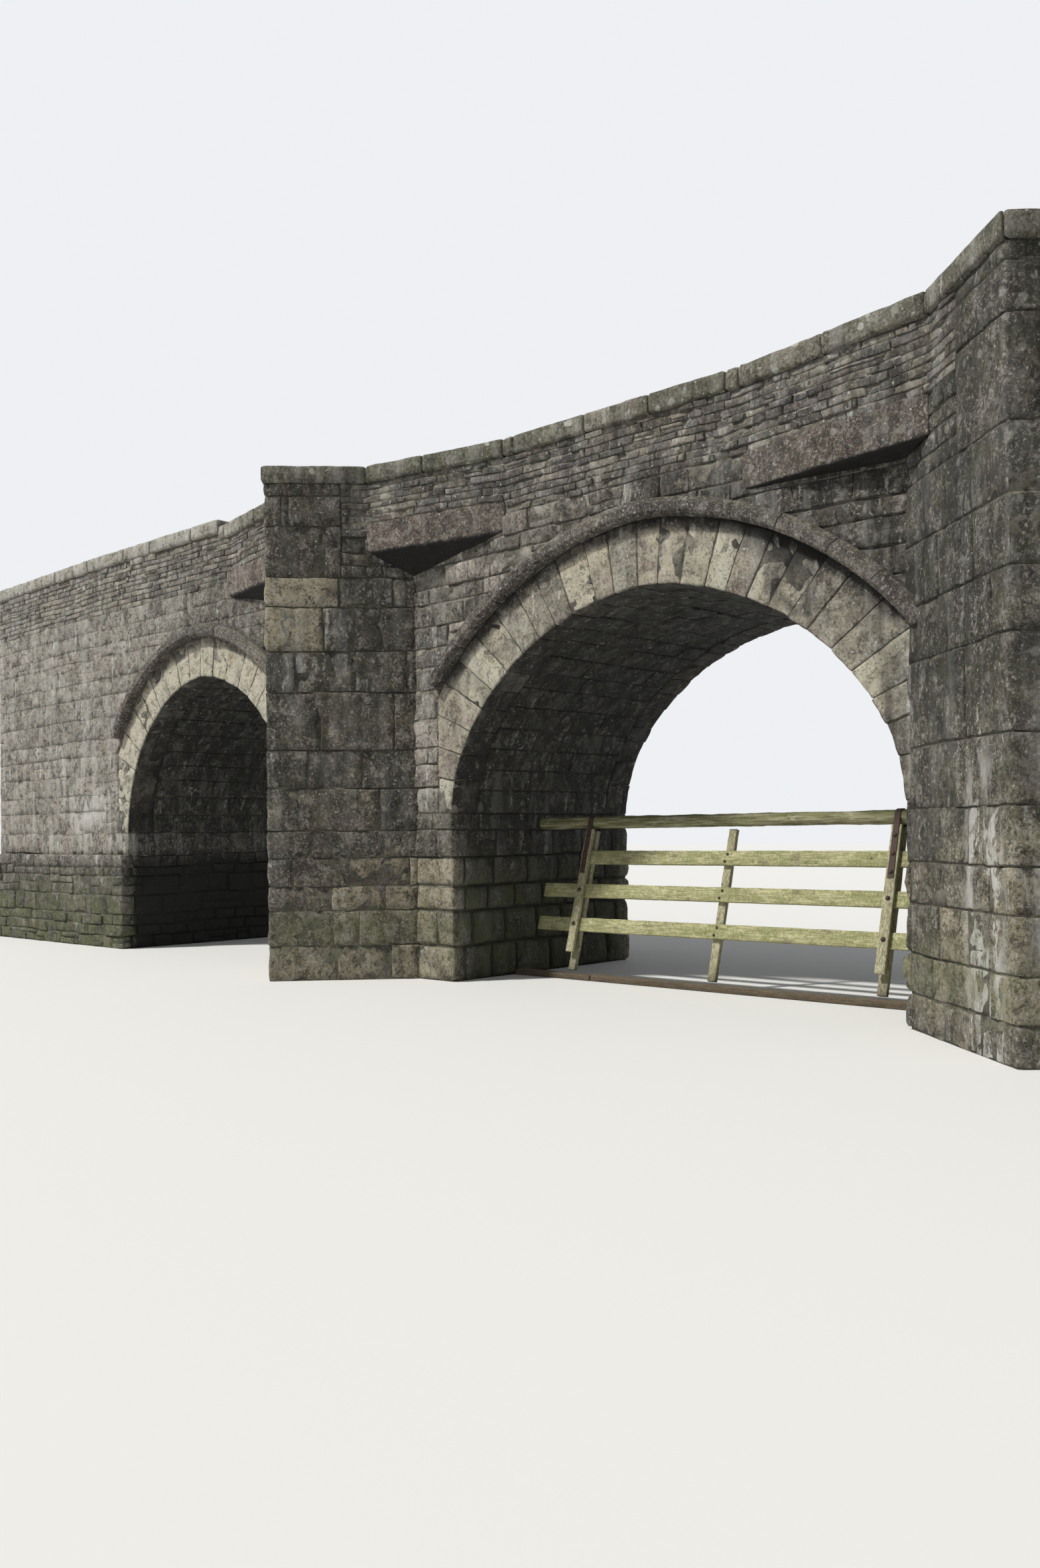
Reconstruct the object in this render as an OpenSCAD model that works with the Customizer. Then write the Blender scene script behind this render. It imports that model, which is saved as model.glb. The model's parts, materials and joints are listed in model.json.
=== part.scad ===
// Medieval granite road bridge over a small river: one wide main arch between two
// narrow pointed arches, full-height triangular cutwaters that open as refuges in the
// parapet, and a hinged timber floodgate hung in the main arch from a cross log.
// X runs along the bridge, -Y is the photographed upstream face, Z = 0 is the bed line.

/* [Overall] */
// Length of masonry, end to end
bridge_len = 27800; // [25000:100:38000]
// Width between the two outer wall faces
bridge_w = 3150; // [2700:50:5000]
// Cover of masonry and gravel over the crown of the main arch
crown_cover = 400; // [320:10:900]

/* [Main arch] */
// Clear span of the main arch
main_span = 5400; // [4200:50:7000]
// Height of its springing
main_spring = 1885; // [1500:5:2300]
// Rise from springing to crown
main_rise = 2155; // [1700:5:2600]
// Fullness of the curve: 2 is an ellipse, less is flatter at the haunches
main_power = 1.83; // [1.7:0.01:2.2]
// Voussoir length at the crown
main_ring_crown = 640; // [400:10:800]
// Voussoir length at the springing
main_ring_foot = 700; // [450:10:900]
// How far its ring reaches past the jambs, where the outer edge stands upright
main_heel = 200; // [100:10:600]

/* [Side arches] */
// Clear span of each pointed side arch
side_span = 4000; // [3300:20:4800]
// Height of their springing
side_spring = 1720; // [1200:5:1900]
// Rise from springing to the point
side_rise = 2165; // [2010:5:2500]
// Voussoir length
side_ring = 540; // [380:10:600]
// How far their rings reach past the jambs, where the outer edges stand upright
side_heel = 270; // [100:10:500]

/* [Piers and cutwaters] */
// Plain wall strip between the left cutwater and the main arch
left_strip = 580; // [40:10:900]
// Plain wall strip between the right cutwater and the main arch
right_strip = 40; // [20:10:900]
// Plain wall strip on the side-arch side of each cutwater
outer_strip = 80; // [40:10:600]
// Half the width of the left cutwaters where they meet the wall
left_cut_half = 1150; // [900:10:1500]
// Half the width of the right cutwaters where they meet the wall
right_cut_half = 1320; // [900:10:1600]
// How far the left noses stand out from the wall
left_cut_nose = 1242; // [900:1:1500]
// How far the right noses stand out from the wall
right_cut_nose = 1188; // [900:1:1500]

/* [Walls] */
// Thickness of the spandrel walls
wall_t = 600; // [450:10:800]
// Depth of the face voussoirs along the barrel
ring_depth = 420; // [300:10:600]
// Thickness of the hood mould
hood_t = 175; // [100:5:220]
// How far the hood mould stands out
hood_out = 140; // [80:5:220]
// Height of the hood feet above the arch springing
hood_foot = 1400; // [800:10:1600]
// Chamfer on the lower arris of the hood mould
hood_chamfer = 35; // [10:5:50]
// Slope cut off the upper arris of the hood mould, as weathering
hood_weather = 60; // [10:5:75]
// Height of the rubble plinth under the abutments
plinth_h = 1400; // [600:10:1700]
// How far the plinth stands out from the wall
plinth_out = 110; // [20:5:250]

/* [Parapets] */
// Thickness of the parapet walls
parapet_t = 380; // [300:10:500]
// Parapet wall height above the road, under its coping
parapet_h = 705; // [500:5:1000]
// Coping thickness
coping_t = 200; // [120:5:260]
// How far the coping stands out from the wall, both sides
coping_out = 35; // [10:5:80]
// How much lower the parapet is round the refuges and over the main arch
refuge_drop = 100; // [50:5:150]
// Fall of the road and parapet from the side arches to each end
end_fall = 60; // [10:10:500]
// How far the left cutwaters' corner stones reach below the road
left_corner_t = 190; // [120:5:300]
// The same at the right cutwaters
right_corner_t = 340; // [120:5:400]
// How far the left ones rise above the road, as the parapet's lowest course there
left_corner_rise = 150; // [20:5:300]
// The same at the right cutwaters
right_corner_rise = 20; // [20:5:300]
// How much deeper a left corner stone is in the re-entrant itself
left_corner_drop = 270; // [20:10:400]
// The same at the right cutwaters
right_corner_drop = 40; // [20:10:200]
// Distance from the re-entrant to the end of a left corner stone on the wall
left_corner_run = 1460; // [800:10:1700]
// The same at the right cutwaters
right_corner_run = 1580; // [800:10:1700]
// Distance along X from the re-entrant to the flank end of each corner stone
corner_flank = 360; // [200:5:600]
// How far a refuge wall returns along the bridge past its corner stones
refuge_return = 150; // [50:10:300]

/* [Floodgate] */
// Diameter of the hanging log
log_d = 150; // [100:2:240]
// Drop from the main springing to its axis
log_drop = 120; // [100:5:400]
// Distance of its axis behind the upstream face
log_back = 1545; // [1100:5:1700]
// Depth of its sockets in the pier walls
socket_depth = 160; // [80:5:300]
// Fit between the log and its sockets or straps
log_fit = 0.4; // [0.2:0.1:0.8]
// Angle at which the gate hangs forward of plumb
gate_tilt = 16; // [5:1:25]
// Gap between the rear posts and the sill beam
sill_gap = 15; // [8:1:60]
// Rear post width and thickness
post_w = 100; // [70:5:140]
// Front batten width
batten_w = 110; // [80:5:150]
// Front batten thickness
batten_t = 45; // [30:5:60]
// Rail height
rail_h = 160; // [100:5:200]
// Rail thickness
rail_t = 50; // [30:5:60]
// Distance from the log axis down to the top rail's middle
top_rail_drop = 420; // [250:5:440]
// Distance between the rails
rail_pitch = 395; // [250:5:400]
// Gap between the lower rails' left ends and the left pier
gate_left_gap = 225; // [100:5:500]
// Gap between the rails' right ends and the right pier
gate_right_gap = 225; // [100:5:500]
// How much shorter the top rail is, at its left end
top_rail_cut = 475; // [0:5:600]
// Distance from mid-span to the battens, outer posts and straps
batten_reach = 1900; // [1200:10:2000]
// How far the front battens stop short of the rear posts' feet
batten_cut = 190; // [0:10:400]
// Strap width
strap_w = 60; // [40:5:100]
// Strap thickness
strap_t = 8; // [5:1:12]
// Height of the sill beam
sill_h = 70; // [40:5:72]
// Width of the sill beam
sill_w = 150; // [100:10:500]

/* [Hidden] */

face_y = -bridge_w / 2;
road_z = main_spring + main_rise + main_ring_crown + crown_cover;
log_z = main_spring - log_drop;
main_l = -main_span / 2;
main_r = main_span / 2;
// Cutwater centres, the inner edges of the side arches and their outer edges
left_cut_x = main_l - left_strip - left_cut_half;
right_cut_x = main_r + right_strip + right_cut_half;
left_in = left_cut_x - left_cut_half - outer_strip;
right_in = right_cut_x + right_cut_half + outer_strip;
left_out = left_in - side_span;
right_out = right_in + side_span;
end_x = bridge_len / 2;
// Where the abutments give way to the spandrel walls
shoulder = 900;
arc_steps = 28;
point_steps = 12;

function sgn(v) = v < 0 ? -1 : 1;

// A blunt arch: a superellipse on a springing line at z = 0
function blunt_arc(half, rise, power) =
    [for (i = [0 : arc_steps]) let (a = 180 - 180 * i / arc_steps)
        [half * sgn(cos(a)) * pow(abs(cos(a)), 2 / power), rise * pow(sin(a), 2 / power)]];

// A pointed arch of two circular arcs, moved out by off
function pointed_arc(half, rise, off) =
    let (
        r = (half * half + rise * rise) / (2 * half),
        cx = r - half,
        tip = acos(cx / (r + off))
    )
    concat(
        [for (i = [0 : point_steps]) let (a = tip * i / point_steps)
            [cx - (r + off) * cos(a), (r + off) * sin(a)]],
        [for (i = [point_steps - 1 : -1 : 0]) let (a = tip * i / point_steps)
            [(r + off) * cos(a) - cx, (r + off) * sin(a)]]
    );

function moved(points, x, z) = [for (p = points) [p[0] + x, p[1] + z]];

// Draws a curve in to where its feet stand upright
function clipped(points, x, reach) =
    [for (p = points) [min(max(p[0], x - reach), x + reach), p[1]]];

// Elevation curves, at their real places; off moves a curve outwards
function main_curve(share = 0, extra = 0) =
    moved(blunt_arc(main_span / 2 + share * main_ring_foot + extra,
                    main_rise + share * main_ring_crown + extra, main_power), 0, main_spring);
function side_curve(x, off = 0) =
    moved(pointed_arc(side_span / 2, side_rise, off), x, side_spring);

// Outer edges of the rings
function main_extrados() = clipped(main_curve(1), 0, main_span / 2 + main_heel);
function side_extrados(x) = clipped(side_curve(x, side_ring), x, side_span / 2 + side_heel);

// A cutwater is [middle, half width, nose, corner stone], and a corner stone is
// [depth below the road, rise above it, extra depth in the re-entrant, length on the wall]
left_cut = [
    left_cut_x, left_cut_half, left_cut_nose,
    [left_corner_t, left_corner_rise, left_corner_drop, left_corner_run]
];
right_cut = [
    right_cut_x, right_cut_half, right_cut_nose,
    [right_corner_t, right_corner_rise, right_corner_drop, right_corner_run]
];
function cut_slope(c) = c[2] / c[1];
function stone_depth(c) = c[3][0];
function stone_rise(c) = c[3][1];
function stone_drop(c) = c[3][2];
function stone_run(c) = c[3][3];

left_mid = (left_in + left_out) / 2;
right_mid = (right_in + right_out) / 2;

// Stands an elevation outline up and runs it from y0 to y1
module wall(y0, y1) {
    translate([0, y1, 0])
        rotate([90, 0, 0])
            linear_extrude(y1 - y0)
                children();
}

module block2(x0, z0, x1, z1) {
    translate([x0, z0])
        square([x1 - x0, z1 - z0]);
}

// The same outline on the upstream and downstream faces
module both_faces(depth, out = 0) {
    wall(face_y - out, face_y + depth)
        children();
    wall(-face_y - depth, -face_y + out)
        children();
}

module mirrored_back() {
    mirror([0, 1, 0])
        children();
}

// The road is level over the arches and falls from the shoulders to each end
left_bend = left_out - shoulder;
right_bend = right_out + shoulder;
end_z = road_z - end_fall;

// Piers and abutments

module abutment_outline(side) {
    jamb = side < 0 ? left_out : right_out;
    bend = side < 0 ? left_bend : right_bend;
    polygon([
        [side * end_x, 0], [jamb, 0], [jamb, side_spring], [bend, side_spring],
        [bend, road_z], [side * end_x, end_z]
    ]);
}

module plinth_outline(side) {
    jamb = side < 0 ? left_out : right_out;
    polygon([[side * end_x, 0], [jamb, 0], [jamb, plinth_h], [side * end_x, plinth_h]]);
}

module abutment(side) {
    color("dimgray") {
        wall(face_y, -face_y)
            abutment_outline(side);
        wall(face_y - plinth_out, -face_y + plinth_out)
            plinth_outline(side);
    }
}

module left_abutment() {
    abutment(-1);
}

module right_abutment() {
    abutment(1);
}

module log_place() {
    translate([0, face_y + log_back, log_z])
        children();
}

module pier(side_x, cut_x, main_x) {
    color("slategray")
        difference() {
            wall(face_y, -face_y)
                polygon([
                    [side_x, 0], [main_x, 0], [main_x, main_spring],
                    [cut_x, main_spring], [cut_x, side_spring], [side_x, side_spring]
                ]);
            log_place()
                rotate([0, 90, 0])
                    cylinder(d = log_d + 2 * log_fit, h = main_span + 2 * socket_depth,
                             center = true, $fn = 64);
        }
}

module left_pier() {
    pier(left_in, left_cut_x, main_l);
}

module right_pier() {
    pier(right_in, right_cut_x, main_r);
}

// Arch barrels and their face rings

module main_band() {
    difference() {
        polygon(main_extrados());
        polygon(main_curve());
    }
}

module side_band(x) {
    difference() {
        polygon(side_extrados(x));
        polygon(side_curve(x));
    }
}

module main_barrel() {
    color("gray")
        wall(face_y + ring_depth, -face_y - ring_depth)
            main_band();
}

module side_barrel(x) {
    color("gray")
        wall(face_y + ring_depth, -face_y - ring_depth)
            side_band(x);
}

module left_barrel() {
    side_barrel(left_mid);
}

module right_barrel() {
    side_barrel(right_mid);
}

module main_voussoirs() {
    color("wheat")
        both_faces(ring_depth)
            main_band();
}

module left_voussoirs() {
    color("wheat")
        both_faces(ring_depth)
            side_band(left_mid);
}

module right_voussoirs() {
    color("wheat")
        both_faces(ring_depth)
            side_band(right_mid);
}

// Hood moulds: one section swept over each ring. A section point is [distance from the
// ring, distance out from the wall], and each has its own curve.

hood_section = [
    [0, 0], [0, hood_out - hood_chamfer], [hood_chamfer, hood_out],
    [hood_t - hood_weather, hood_out], [hood_t, hood_out - hood_weather], [hood_t, 0]
];

module swept_hood(curves) {
    sides = len(hood_section);
    last = len(curves[0]) - 1;
    points = [for (i = [0 : last]) for (j = [0 : sides - 1])
        [curves[j][i][0], face_y - hood_section[j][1], curves[j][i][1]]];
    skin = [for (i = [0 : last - 1]) for (j = [0 : sides - 1])
        let (a = i * sides + j, b = i * sides + (j + 1) % sides)
        each [[a, b, a + sides], [b, b + sides, a + sides]]];
    caps = [[for (j = [sides - 1 : -1 : 0]) j], [for (j = [0 : sides - 1]) last * sides + j]];
    polyhedron(points, concat(skin, caps));
}

module hood_above(foot, curves) {
    intersection() {
        swept_hood(curves);
        translate([-end_x, face_y - 2 * hood_out, foot])
            cube([bridge_len, 3 * hood_out, road_z - foot]);
    }
}

module hood(foot, curves) {
    color("darkgray")
        difference() {
            union() {
                hood_above(foot, curves);
                mirrored_back()
                    hood_above(foot, curves);
            }
            for (c = [left_cut, right_cut]) {
                cutwater_mass(c);
                mirrored_back()
                    cutwater_mass(c);
            }
        }
}

module main_hood_mould() {
    hood(main_spring + hood_foot, [for (p = hood_section) main_curve(1, p[0])]);
}

module left_hood_mould() {
    hood(side_spring + hood_foot, [for (p = hood_section) side_curve(left_mid, side_ring + p[0])]);
}

module right_hood_mould() {
    hood(side_spring + hood_foot, [for (p = hood_section) side_curve(right_mid, side_ring + p[0])]);
}

// Spandrel walls and the fill between them

module spandrel_outline(part) {
    difference() {
        if (part == "left")
            block2(left_bend, side_spring, left_cut_x, road_z);
        else if (part == "right")
            block2(right_cut_x, side_spring, right_bend, road_z);
        else
            block2(left_cut_x, main_spring, right_cut_x, road_z);
        polygon(main_extrados());
        polygon(side_extrados(left_mid));
        polygon(side_extrados(right_mid));
    }
}

module main_spandrels() {
    color("rosybrown")
        both_faces(wall_t)
            spandrel_outline("main");
}

module left_spandrels() {
    color("rosybrown")
        both_faces(wall_t)
            spandrel_outline("left");
}

module right_spandrels() {
    color("rosybrown")
        both_faces(wall_t)
            spandrel_outline("right");
}

module road_fill() {
    color("tan")
        wall(face_y + wall_t, -face_y - wall_t)
            for (part = ["left", "main", "right"])
                spandrel_outline(part);
}

// Cutwaters

module cutwater_mass(c) {
    linear_extrude(road_z)
        polygon([[c[0] - c[1], face_y], [c[0], face_y - c[2]], [c[0] + c[1], face_y]]);
}

module cutwater(c) {
    color("slategray")
        cutwater_mass(c);
}

module left_cutwater_front() {
    cutwater(left_cut);
}

module left_cutwater_back() {
    mirrored_back()
        cutwater(left_cut);
}

module right_cutwater_front() {
    cutwater(right_cut);
}

module right_cutwater_back() {
    mirrored_back()
        cutwater(right_cut);
}

// A refuge's outer line runs from the wall over a corner stone to the flank and the nose,
// and back the same way
function refuge_line(c) =
    let (
        crease = c[1] - corner_flank,
        foot = c[1] + stone_run(c),
        end = foot + refuge_return,
        crease_y = face_y - corner_flank * cut_slope(c)
    )
    [
        [c[0] - end, face_y], [c[0] - foot, face_y], [c[0] - crease, crease_y],
        [c[0], face_y - c[2]],
        [c[0] + crease, crease_y], [c[0] + foot, face_y], [c[0] + end, face_y]
    ];

// Moves an open line sideways by t, to its left, with mitred corners and ends on X = const
function unit(v) = v / norm(v);
function left_of(v) = [-v[1], v[0]];
function shifted_line(line, t) =
    let (last = len(line) - 1)
    [for (i = [0 : last])
        let (
            a = i == 0 ? [1, 0] : unit(line[i] - line[i - 1]),
            b = i == last ? [1, 0] : unit(line[i + 1] - line[i]),
            n = unit(left_of(a) + left_of(b))
        )
        line[i] + n * t / (n * left_of(a))];
function reversed(list) = [for (i = [len(list) - 1 : -1 : 0]) list[i]];

// The strip between two shifts of a line, from its point i0 to its point i1
function strip(line, t0, t1, i0, i1) =
    let (near = shifted_line(line, t0), far = shifted_line(line, t1))
    concat([for (i = [i0 : i1]) near[i]], [for (i = [i1 : -1 : i0]) far[i]]);

// Points of the refuge line where the corner stones begin and end
refuge_last = 6;
corner_spans = [[1, 2], [4, 5]];
wall_spans = [[0, 1], [2, 4], [5, 6]];

module refuge_strips(c, spans) {
    for (s = spans)
        polygon(strip(refuge_line(c), 0, parapet_t, s[0], s[1]));
}

// Long corner stones carry the parapet from the flanks on to the wall. Their underside
// slopes down into the re-entrant, and they rise as the lowest course of the parapet.

module corner_foot(c, side) {
    corner = c[0] + side * c[1];
    plan = [
        [corner, face_y],
        [corner - side * corner_flank, face_y - corner_flank * cut_slope(c)],
        [corner + side * stone_run(c), face_y]
    ];
    drops = [stone_depth(c) + stone_drop(c), stone_depth(c), stone_depth(c)];
    tops = [for (p = plan) [p[0], p[1], road_z]];
    feet = [for (i = [0 : 2]) [plan[i][0], plan[i][1], road_z - drops[i]]];
    faces = [[0, 1, 2], [5, 4, 3], [0, 3, 4, 1], [1, 4, 5, 2], [2, 5, 3, 0]];
    polyhedron(concat(tops, feet),
               side < 0 ? faces : [for (f = faces) reversed(f)]);
}

module corner_stones_on_one_face(c) {
    for (side = [-1, 1])
        corner_foot(c, side);
    translate([0, 0, road_z])
        linear_extrude(stone_rise(c))
            refuge_strips(c, corner_spans);
}

module corner_stones(c) {
    color("sienna") {
        corner_stones_on_one_face(c);
        mirrored_back()
            corner_stones_on_one_face(c);
    }
}

module left_corner_stones() {
    corner_stones(left_cut);
}

module right_corner_stones() {
    corner_stones(right_cut);
}

// Parapets

module refuge(c) {
    color("dimgray")
        translate([0, 0, road_z]) {
            linear_extrude(stone_rise(c))
                refuge_strips(c, wall_spans);
            translate([0, 0, stone_rise(c)])
                linear_extrude(parapet_h - refuge_drop - stone_rise(c))
                    refuge_strips(c, [[0, refuge_last]]);
        }
}

module left_refuge_front() {
    refuge(left_cut);
}

module left_refuge_back() {
    mirrored_back()
        refuge(left_cut);
}

module right_refuge_front() {
    refuge(right_cut);
}

module right_refuge_back() {
    mirrored_back()
        refuge(right_cut);
}

// Where the refuge walls end and the straight parapets begin
function refuge_end(c, side) = c[0] + side * (c[1] + stone_run(c) + refuge_return);

// Elevation strip that follows the road line between two heights above it
module road_strip(z0, z1) {
    polygon([
        [-end_x, end_z + z0], [left_bend, road_z + z0],
        [right_bend, road_z + z0], [end_x, end_z + z0],
        [end_x, end_z + z1], [right_bend, road_z + z1],
        [left_bend, road_z + z1], [-end_x, end_z + z1]
    ]);
}

// A straight wall or coping between two places along the bridge
module straight_run(x0, x1, z0, z1, t0, t1) {
    wall(face_y + t0, face_y + t1)
        intersection() {
            road_strip(z0, z1);
            block2(x0, end_z, x1, road_z + 2 * z1);
        }
}

module parapets(x0, x1, h) {
    color("darkslategray") {
        straight_run(x0, x1, 0, h, 0, parapet_t);
        mirrored_back()
            straight_run(x0, x1, 0, h, 0, parapet_t);
    }
}

module main_parapets() {
    parapets(refuge_end(left_cut, 1), refuge_end(right_cut, -1), parapet_h - refuge_drop);
}

module left_parapets() {
    parapets(-end_x, refuge_end(left_cut, -1), parapet_h);
}

module right_parapets() {
    parapets(refuge_end(right_cut, 1), end_x, parapet_h);
}

// Copings: straight runs on the bays, lower ones over the main arch and round the refuges

module coping_run(x0, x1, h) {
    straight_run(x0, x1, h, h + coping_t, -coping_out, parapet_t + coping_out);
}

module straight_coping_row() {
    coping_run(-end_x, refuge_end(left_cut, -1), parapet_h);
    coping_run(refuge_end(left_cut, 1), refuge_end(right_cut, -1), parapet_h - refuge_drop);
    coping_run(refuge_end(right_cut, 1), end_x, parapet_h);
}

module straight_copings() {
    color("lightgray") {
        straight_coping_row();
        mirrored_back()
            straight_coping_row();
    }
}

module refuge_coping(c) {
    translate([0, 0, road_z + parapet_h - refuge_drop])
        linear_extrude(coping_t)
            polygon(strip(refuge_line(c), -coping_out, parapet_t + coping_out,
                          0, refuge_last));
}

module refuge_copings() {
    color("lightgray")
        for (c = [left_cut, right_cut]) {
            refuge_coping(c);
            mirrored_back()
                refuge_coping(c);
        }
}

// Floodgate

log_r = log_d / 2;
strap_leg = 620;
past = 1;
strap_r = log_r + log_fit;
rail_r = main_r - gate_right_gap;
low_rail_l = main_l + gate_left_gap;
top_rail_l = low_rail_l + top_rail_cut;
gate_front = -strap_r;
gate_back = strap_r;
post_top = -(log_r + 2 * strap_t);
// The posts' rear lower edges hang just above the sill beam
post_foot = -(log_z - sill_h - sill_gap - gate_back * sin(gate_tilt)) / cos(gate_tilt);
rail_front = gate_front + batten_t;
rail_back = rail_front + rail_t;

module hanging_log() {
    color("darkolivegreen")
        log_place()
            rotate([0, 90, 0])
                cylinder(d = log_d, h = main_span + 2 * socket_depth - 2 * log_fit,
                         center = true, $fn = 64);
}

module sill_beam() {
    color("saddlebrown")
        translate([main_l, face_y + log_back + post_foot * sin(gate_tilt) - sill_w / 2, 0])
            cube([main_span, sill_w, sill_h]);
}

module gate_place() {
    log_place()
        rotate([-gate_tilt, 0, 0])
            children();
}

// Rail 0 is the top one
module rail(x0, x1, step) {
    color("darkkhaki")
        gate_place()
            translate([x0, rail_front, -top_rail_drop - step * rail_pitch - rail_h / 2])
                cube([x1 - x0, rail_t, rail_h]);
}

module gate_top_rail() {
    rail(top_rail_l, rail_r, 0);
}

module gate_middle_rail() {
    rail(low_rail_l, rail_r, 1);
}

module gate_bottom_rail() {
    rail(low_rail_l, rail_r, 2);
}

module post(x) {
    color("peru")
        gate_place()
            translate([x - post_w / 2, rail_back, post_foot])
                cube([post_w, gate_back - rail_back, post_top - post_foot]);
}

module gate_left_post() {
    post(-batten_reach);
}

module gate_middle_post() {
    post(0);
}

module gate_right_post() {
    post(batten_reach);
}

module batten(x) {
    color("peru")
        gate_place()
            translate([x - batten_w / 2, gate_front, post_foot + batten_cut])
                cube([batten_w, batten_t, post_top - post_foot - batten_cut]);
}

module gate_left_batten() {
    batten(-batten_reach);
}

module gate_right_batten() {
    batten(batten_reach);
}

// A strap hooks over the log and runs down both faces of the gate
module strap(x) {
    color("firebrick")
        gate_place()
            translate([x - strap_w / 2, 0, 0])
                rotate([90, 0, 90])
                    linear_extrude(strap_w)
                        difference() {
                            union() {
                                circle(r = strap_r + strap_t, $fn = 64);
                                translate([-strap_r - strap_t, -strap_leg])
                                    square([2 * (strap_r + strap_t), strap_leg]);
                            }
                            circle(r = strap_r, $fn = 64);
                            translate([-strap_r, -strap_leg - past])
                                square([2 * strap_r, strap_leg + past]);
                        }
}

module gate_left_strap() {
    strap(-batten_reach);
}

module gate_right_strap() {
    strap(batten_reach);
}

left_abutment();
right_abutment();
left_pier();
right_pier();
main_barrel();
left_barrel();
right_barrel();
main_voussoirs();
left_voussoirs();
right_voussoirs();
main_hood_mould();
left_hood_mould();
right_hood_mould();
main_spandrels();
left_spandrels();
right_spandrels();
road_fill();
left_cutwater_front();
left_cutwater_back();
right_cutwater_front();
right_cutwater_back();
left_corner_stones();
right_corner_stones();
main_parapets();
left_parapets();
right_parapets();
left_refuge_front();
left_refuge_back();
right_refuge_front();
right_refuge_back();
straight_copings();
refuge_copings();
hanging_log();
sill_beam();
gate_top_rail();
gate_middle_rail();
gate_bottom_rail();
gate_left_post();
gate_middle_post();
gate_right_post();
gate_left_batten();
gate_right_batten();
gate_left_strap();
gate_right_strap();
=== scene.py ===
import json
import math
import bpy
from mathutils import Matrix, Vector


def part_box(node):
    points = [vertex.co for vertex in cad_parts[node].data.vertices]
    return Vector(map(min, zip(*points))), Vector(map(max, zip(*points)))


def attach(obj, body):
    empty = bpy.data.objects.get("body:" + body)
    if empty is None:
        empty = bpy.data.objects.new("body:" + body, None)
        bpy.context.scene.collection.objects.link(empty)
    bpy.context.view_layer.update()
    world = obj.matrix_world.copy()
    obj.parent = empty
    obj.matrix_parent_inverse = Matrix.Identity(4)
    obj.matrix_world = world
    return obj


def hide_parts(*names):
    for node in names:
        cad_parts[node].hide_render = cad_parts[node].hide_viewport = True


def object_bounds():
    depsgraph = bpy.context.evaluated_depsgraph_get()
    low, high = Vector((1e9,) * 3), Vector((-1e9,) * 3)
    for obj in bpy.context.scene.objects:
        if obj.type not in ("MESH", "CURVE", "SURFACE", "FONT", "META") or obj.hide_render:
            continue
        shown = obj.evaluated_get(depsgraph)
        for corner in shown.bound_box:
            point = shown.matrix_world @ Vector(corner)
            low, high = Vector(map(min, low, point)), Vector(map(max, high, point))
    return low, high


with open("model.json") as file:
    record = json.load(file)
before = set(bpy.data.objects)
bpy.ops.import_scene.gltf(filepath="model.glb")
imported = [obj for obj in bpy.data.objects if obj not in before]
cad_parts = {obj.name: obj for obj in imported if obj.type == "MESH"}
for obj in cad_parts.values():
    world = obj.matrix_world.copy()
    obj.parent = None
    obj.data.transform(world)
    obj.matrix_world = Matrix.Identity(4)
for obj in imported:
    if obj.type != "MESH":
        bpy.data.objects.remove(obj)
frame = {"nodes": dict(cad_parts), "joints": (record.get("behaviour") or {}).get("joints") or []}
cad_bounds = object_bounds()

from types import SimpleNamespace

import bpy
import numpy as np
from mathutils import Matrix

# Driving places, read from the frame. X runs along the bridge and -Y is the face in view.


def low(node):
    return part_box(node)[0]


def high(node):
    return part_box(node)[1]


MAIN_L, MAIN_R = high("left_pier").x, low("right_pier").x
LEFT_IN, RIGHT_IN = low("left_pier").x, high("right_pier").x
LEFT_OUT, RIGHT_OUT = high("left_abutment").x, low("right_abutment").x
LEFT_MID, RIGHT_MID = (LEFT_IN + LEFT_OUT) / 2, (RIGHT_IN + RIGHT_OUT) / 2
SIDE_HALF = (LEFT_IN - LEFT_OUT) / 2
END = high("right_abutment").x
FACE, PLINTH = high("left_spandrels").y, high("left_abutment").y
ROAD = high("left_cutwater_front").z
MAIN_SPRING, SIDE_SPRING = low("main_voussoirs").z, low("left_voussoirs").z
MAIN_RISE, MAIN_POWER = 2.155, 1.83
MAIN_RING_CROWN, MAIN_RING_FOOT, MAIN_HEEL = 0.64, 0.70, 0.20
SIDE_RISE, SIDE_RING, SIDE_HEEL = 2.165, 0.54, 0.27
RING_DEPTH = 0.42
PLINTH_TOP = 1.40
HOOD_T, HOOD_OUT, HOOD_CHAMFER, HOOD_WEATHER = 0.175, 0.14, 0.035, 0.06
HOOD_FOOT = 1.40
PARAPET_T, PARAPET_H, REFUGE_H = 0.38, 0.705, 0.605
COPING_T, COPING_OUT = 0.20, 0.035
CORNER_FLANK, REFUGE_RETURN = 0.36, 0.15
CREASE = 0.03  # how far stones run on behind the face that meets theirs at a re-entrant
END_FALL, SHOULDER = 0.06, 0.90
LEFT_BEND, RIGHT_BEND = LEFT_OUT - SHOULDER, RIGHT_OUT + SHOULDER
BOX_LOW, BOX_HIGH = np.array(cad_bounds[0]), np.array(cad_bounds[1])


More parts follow.
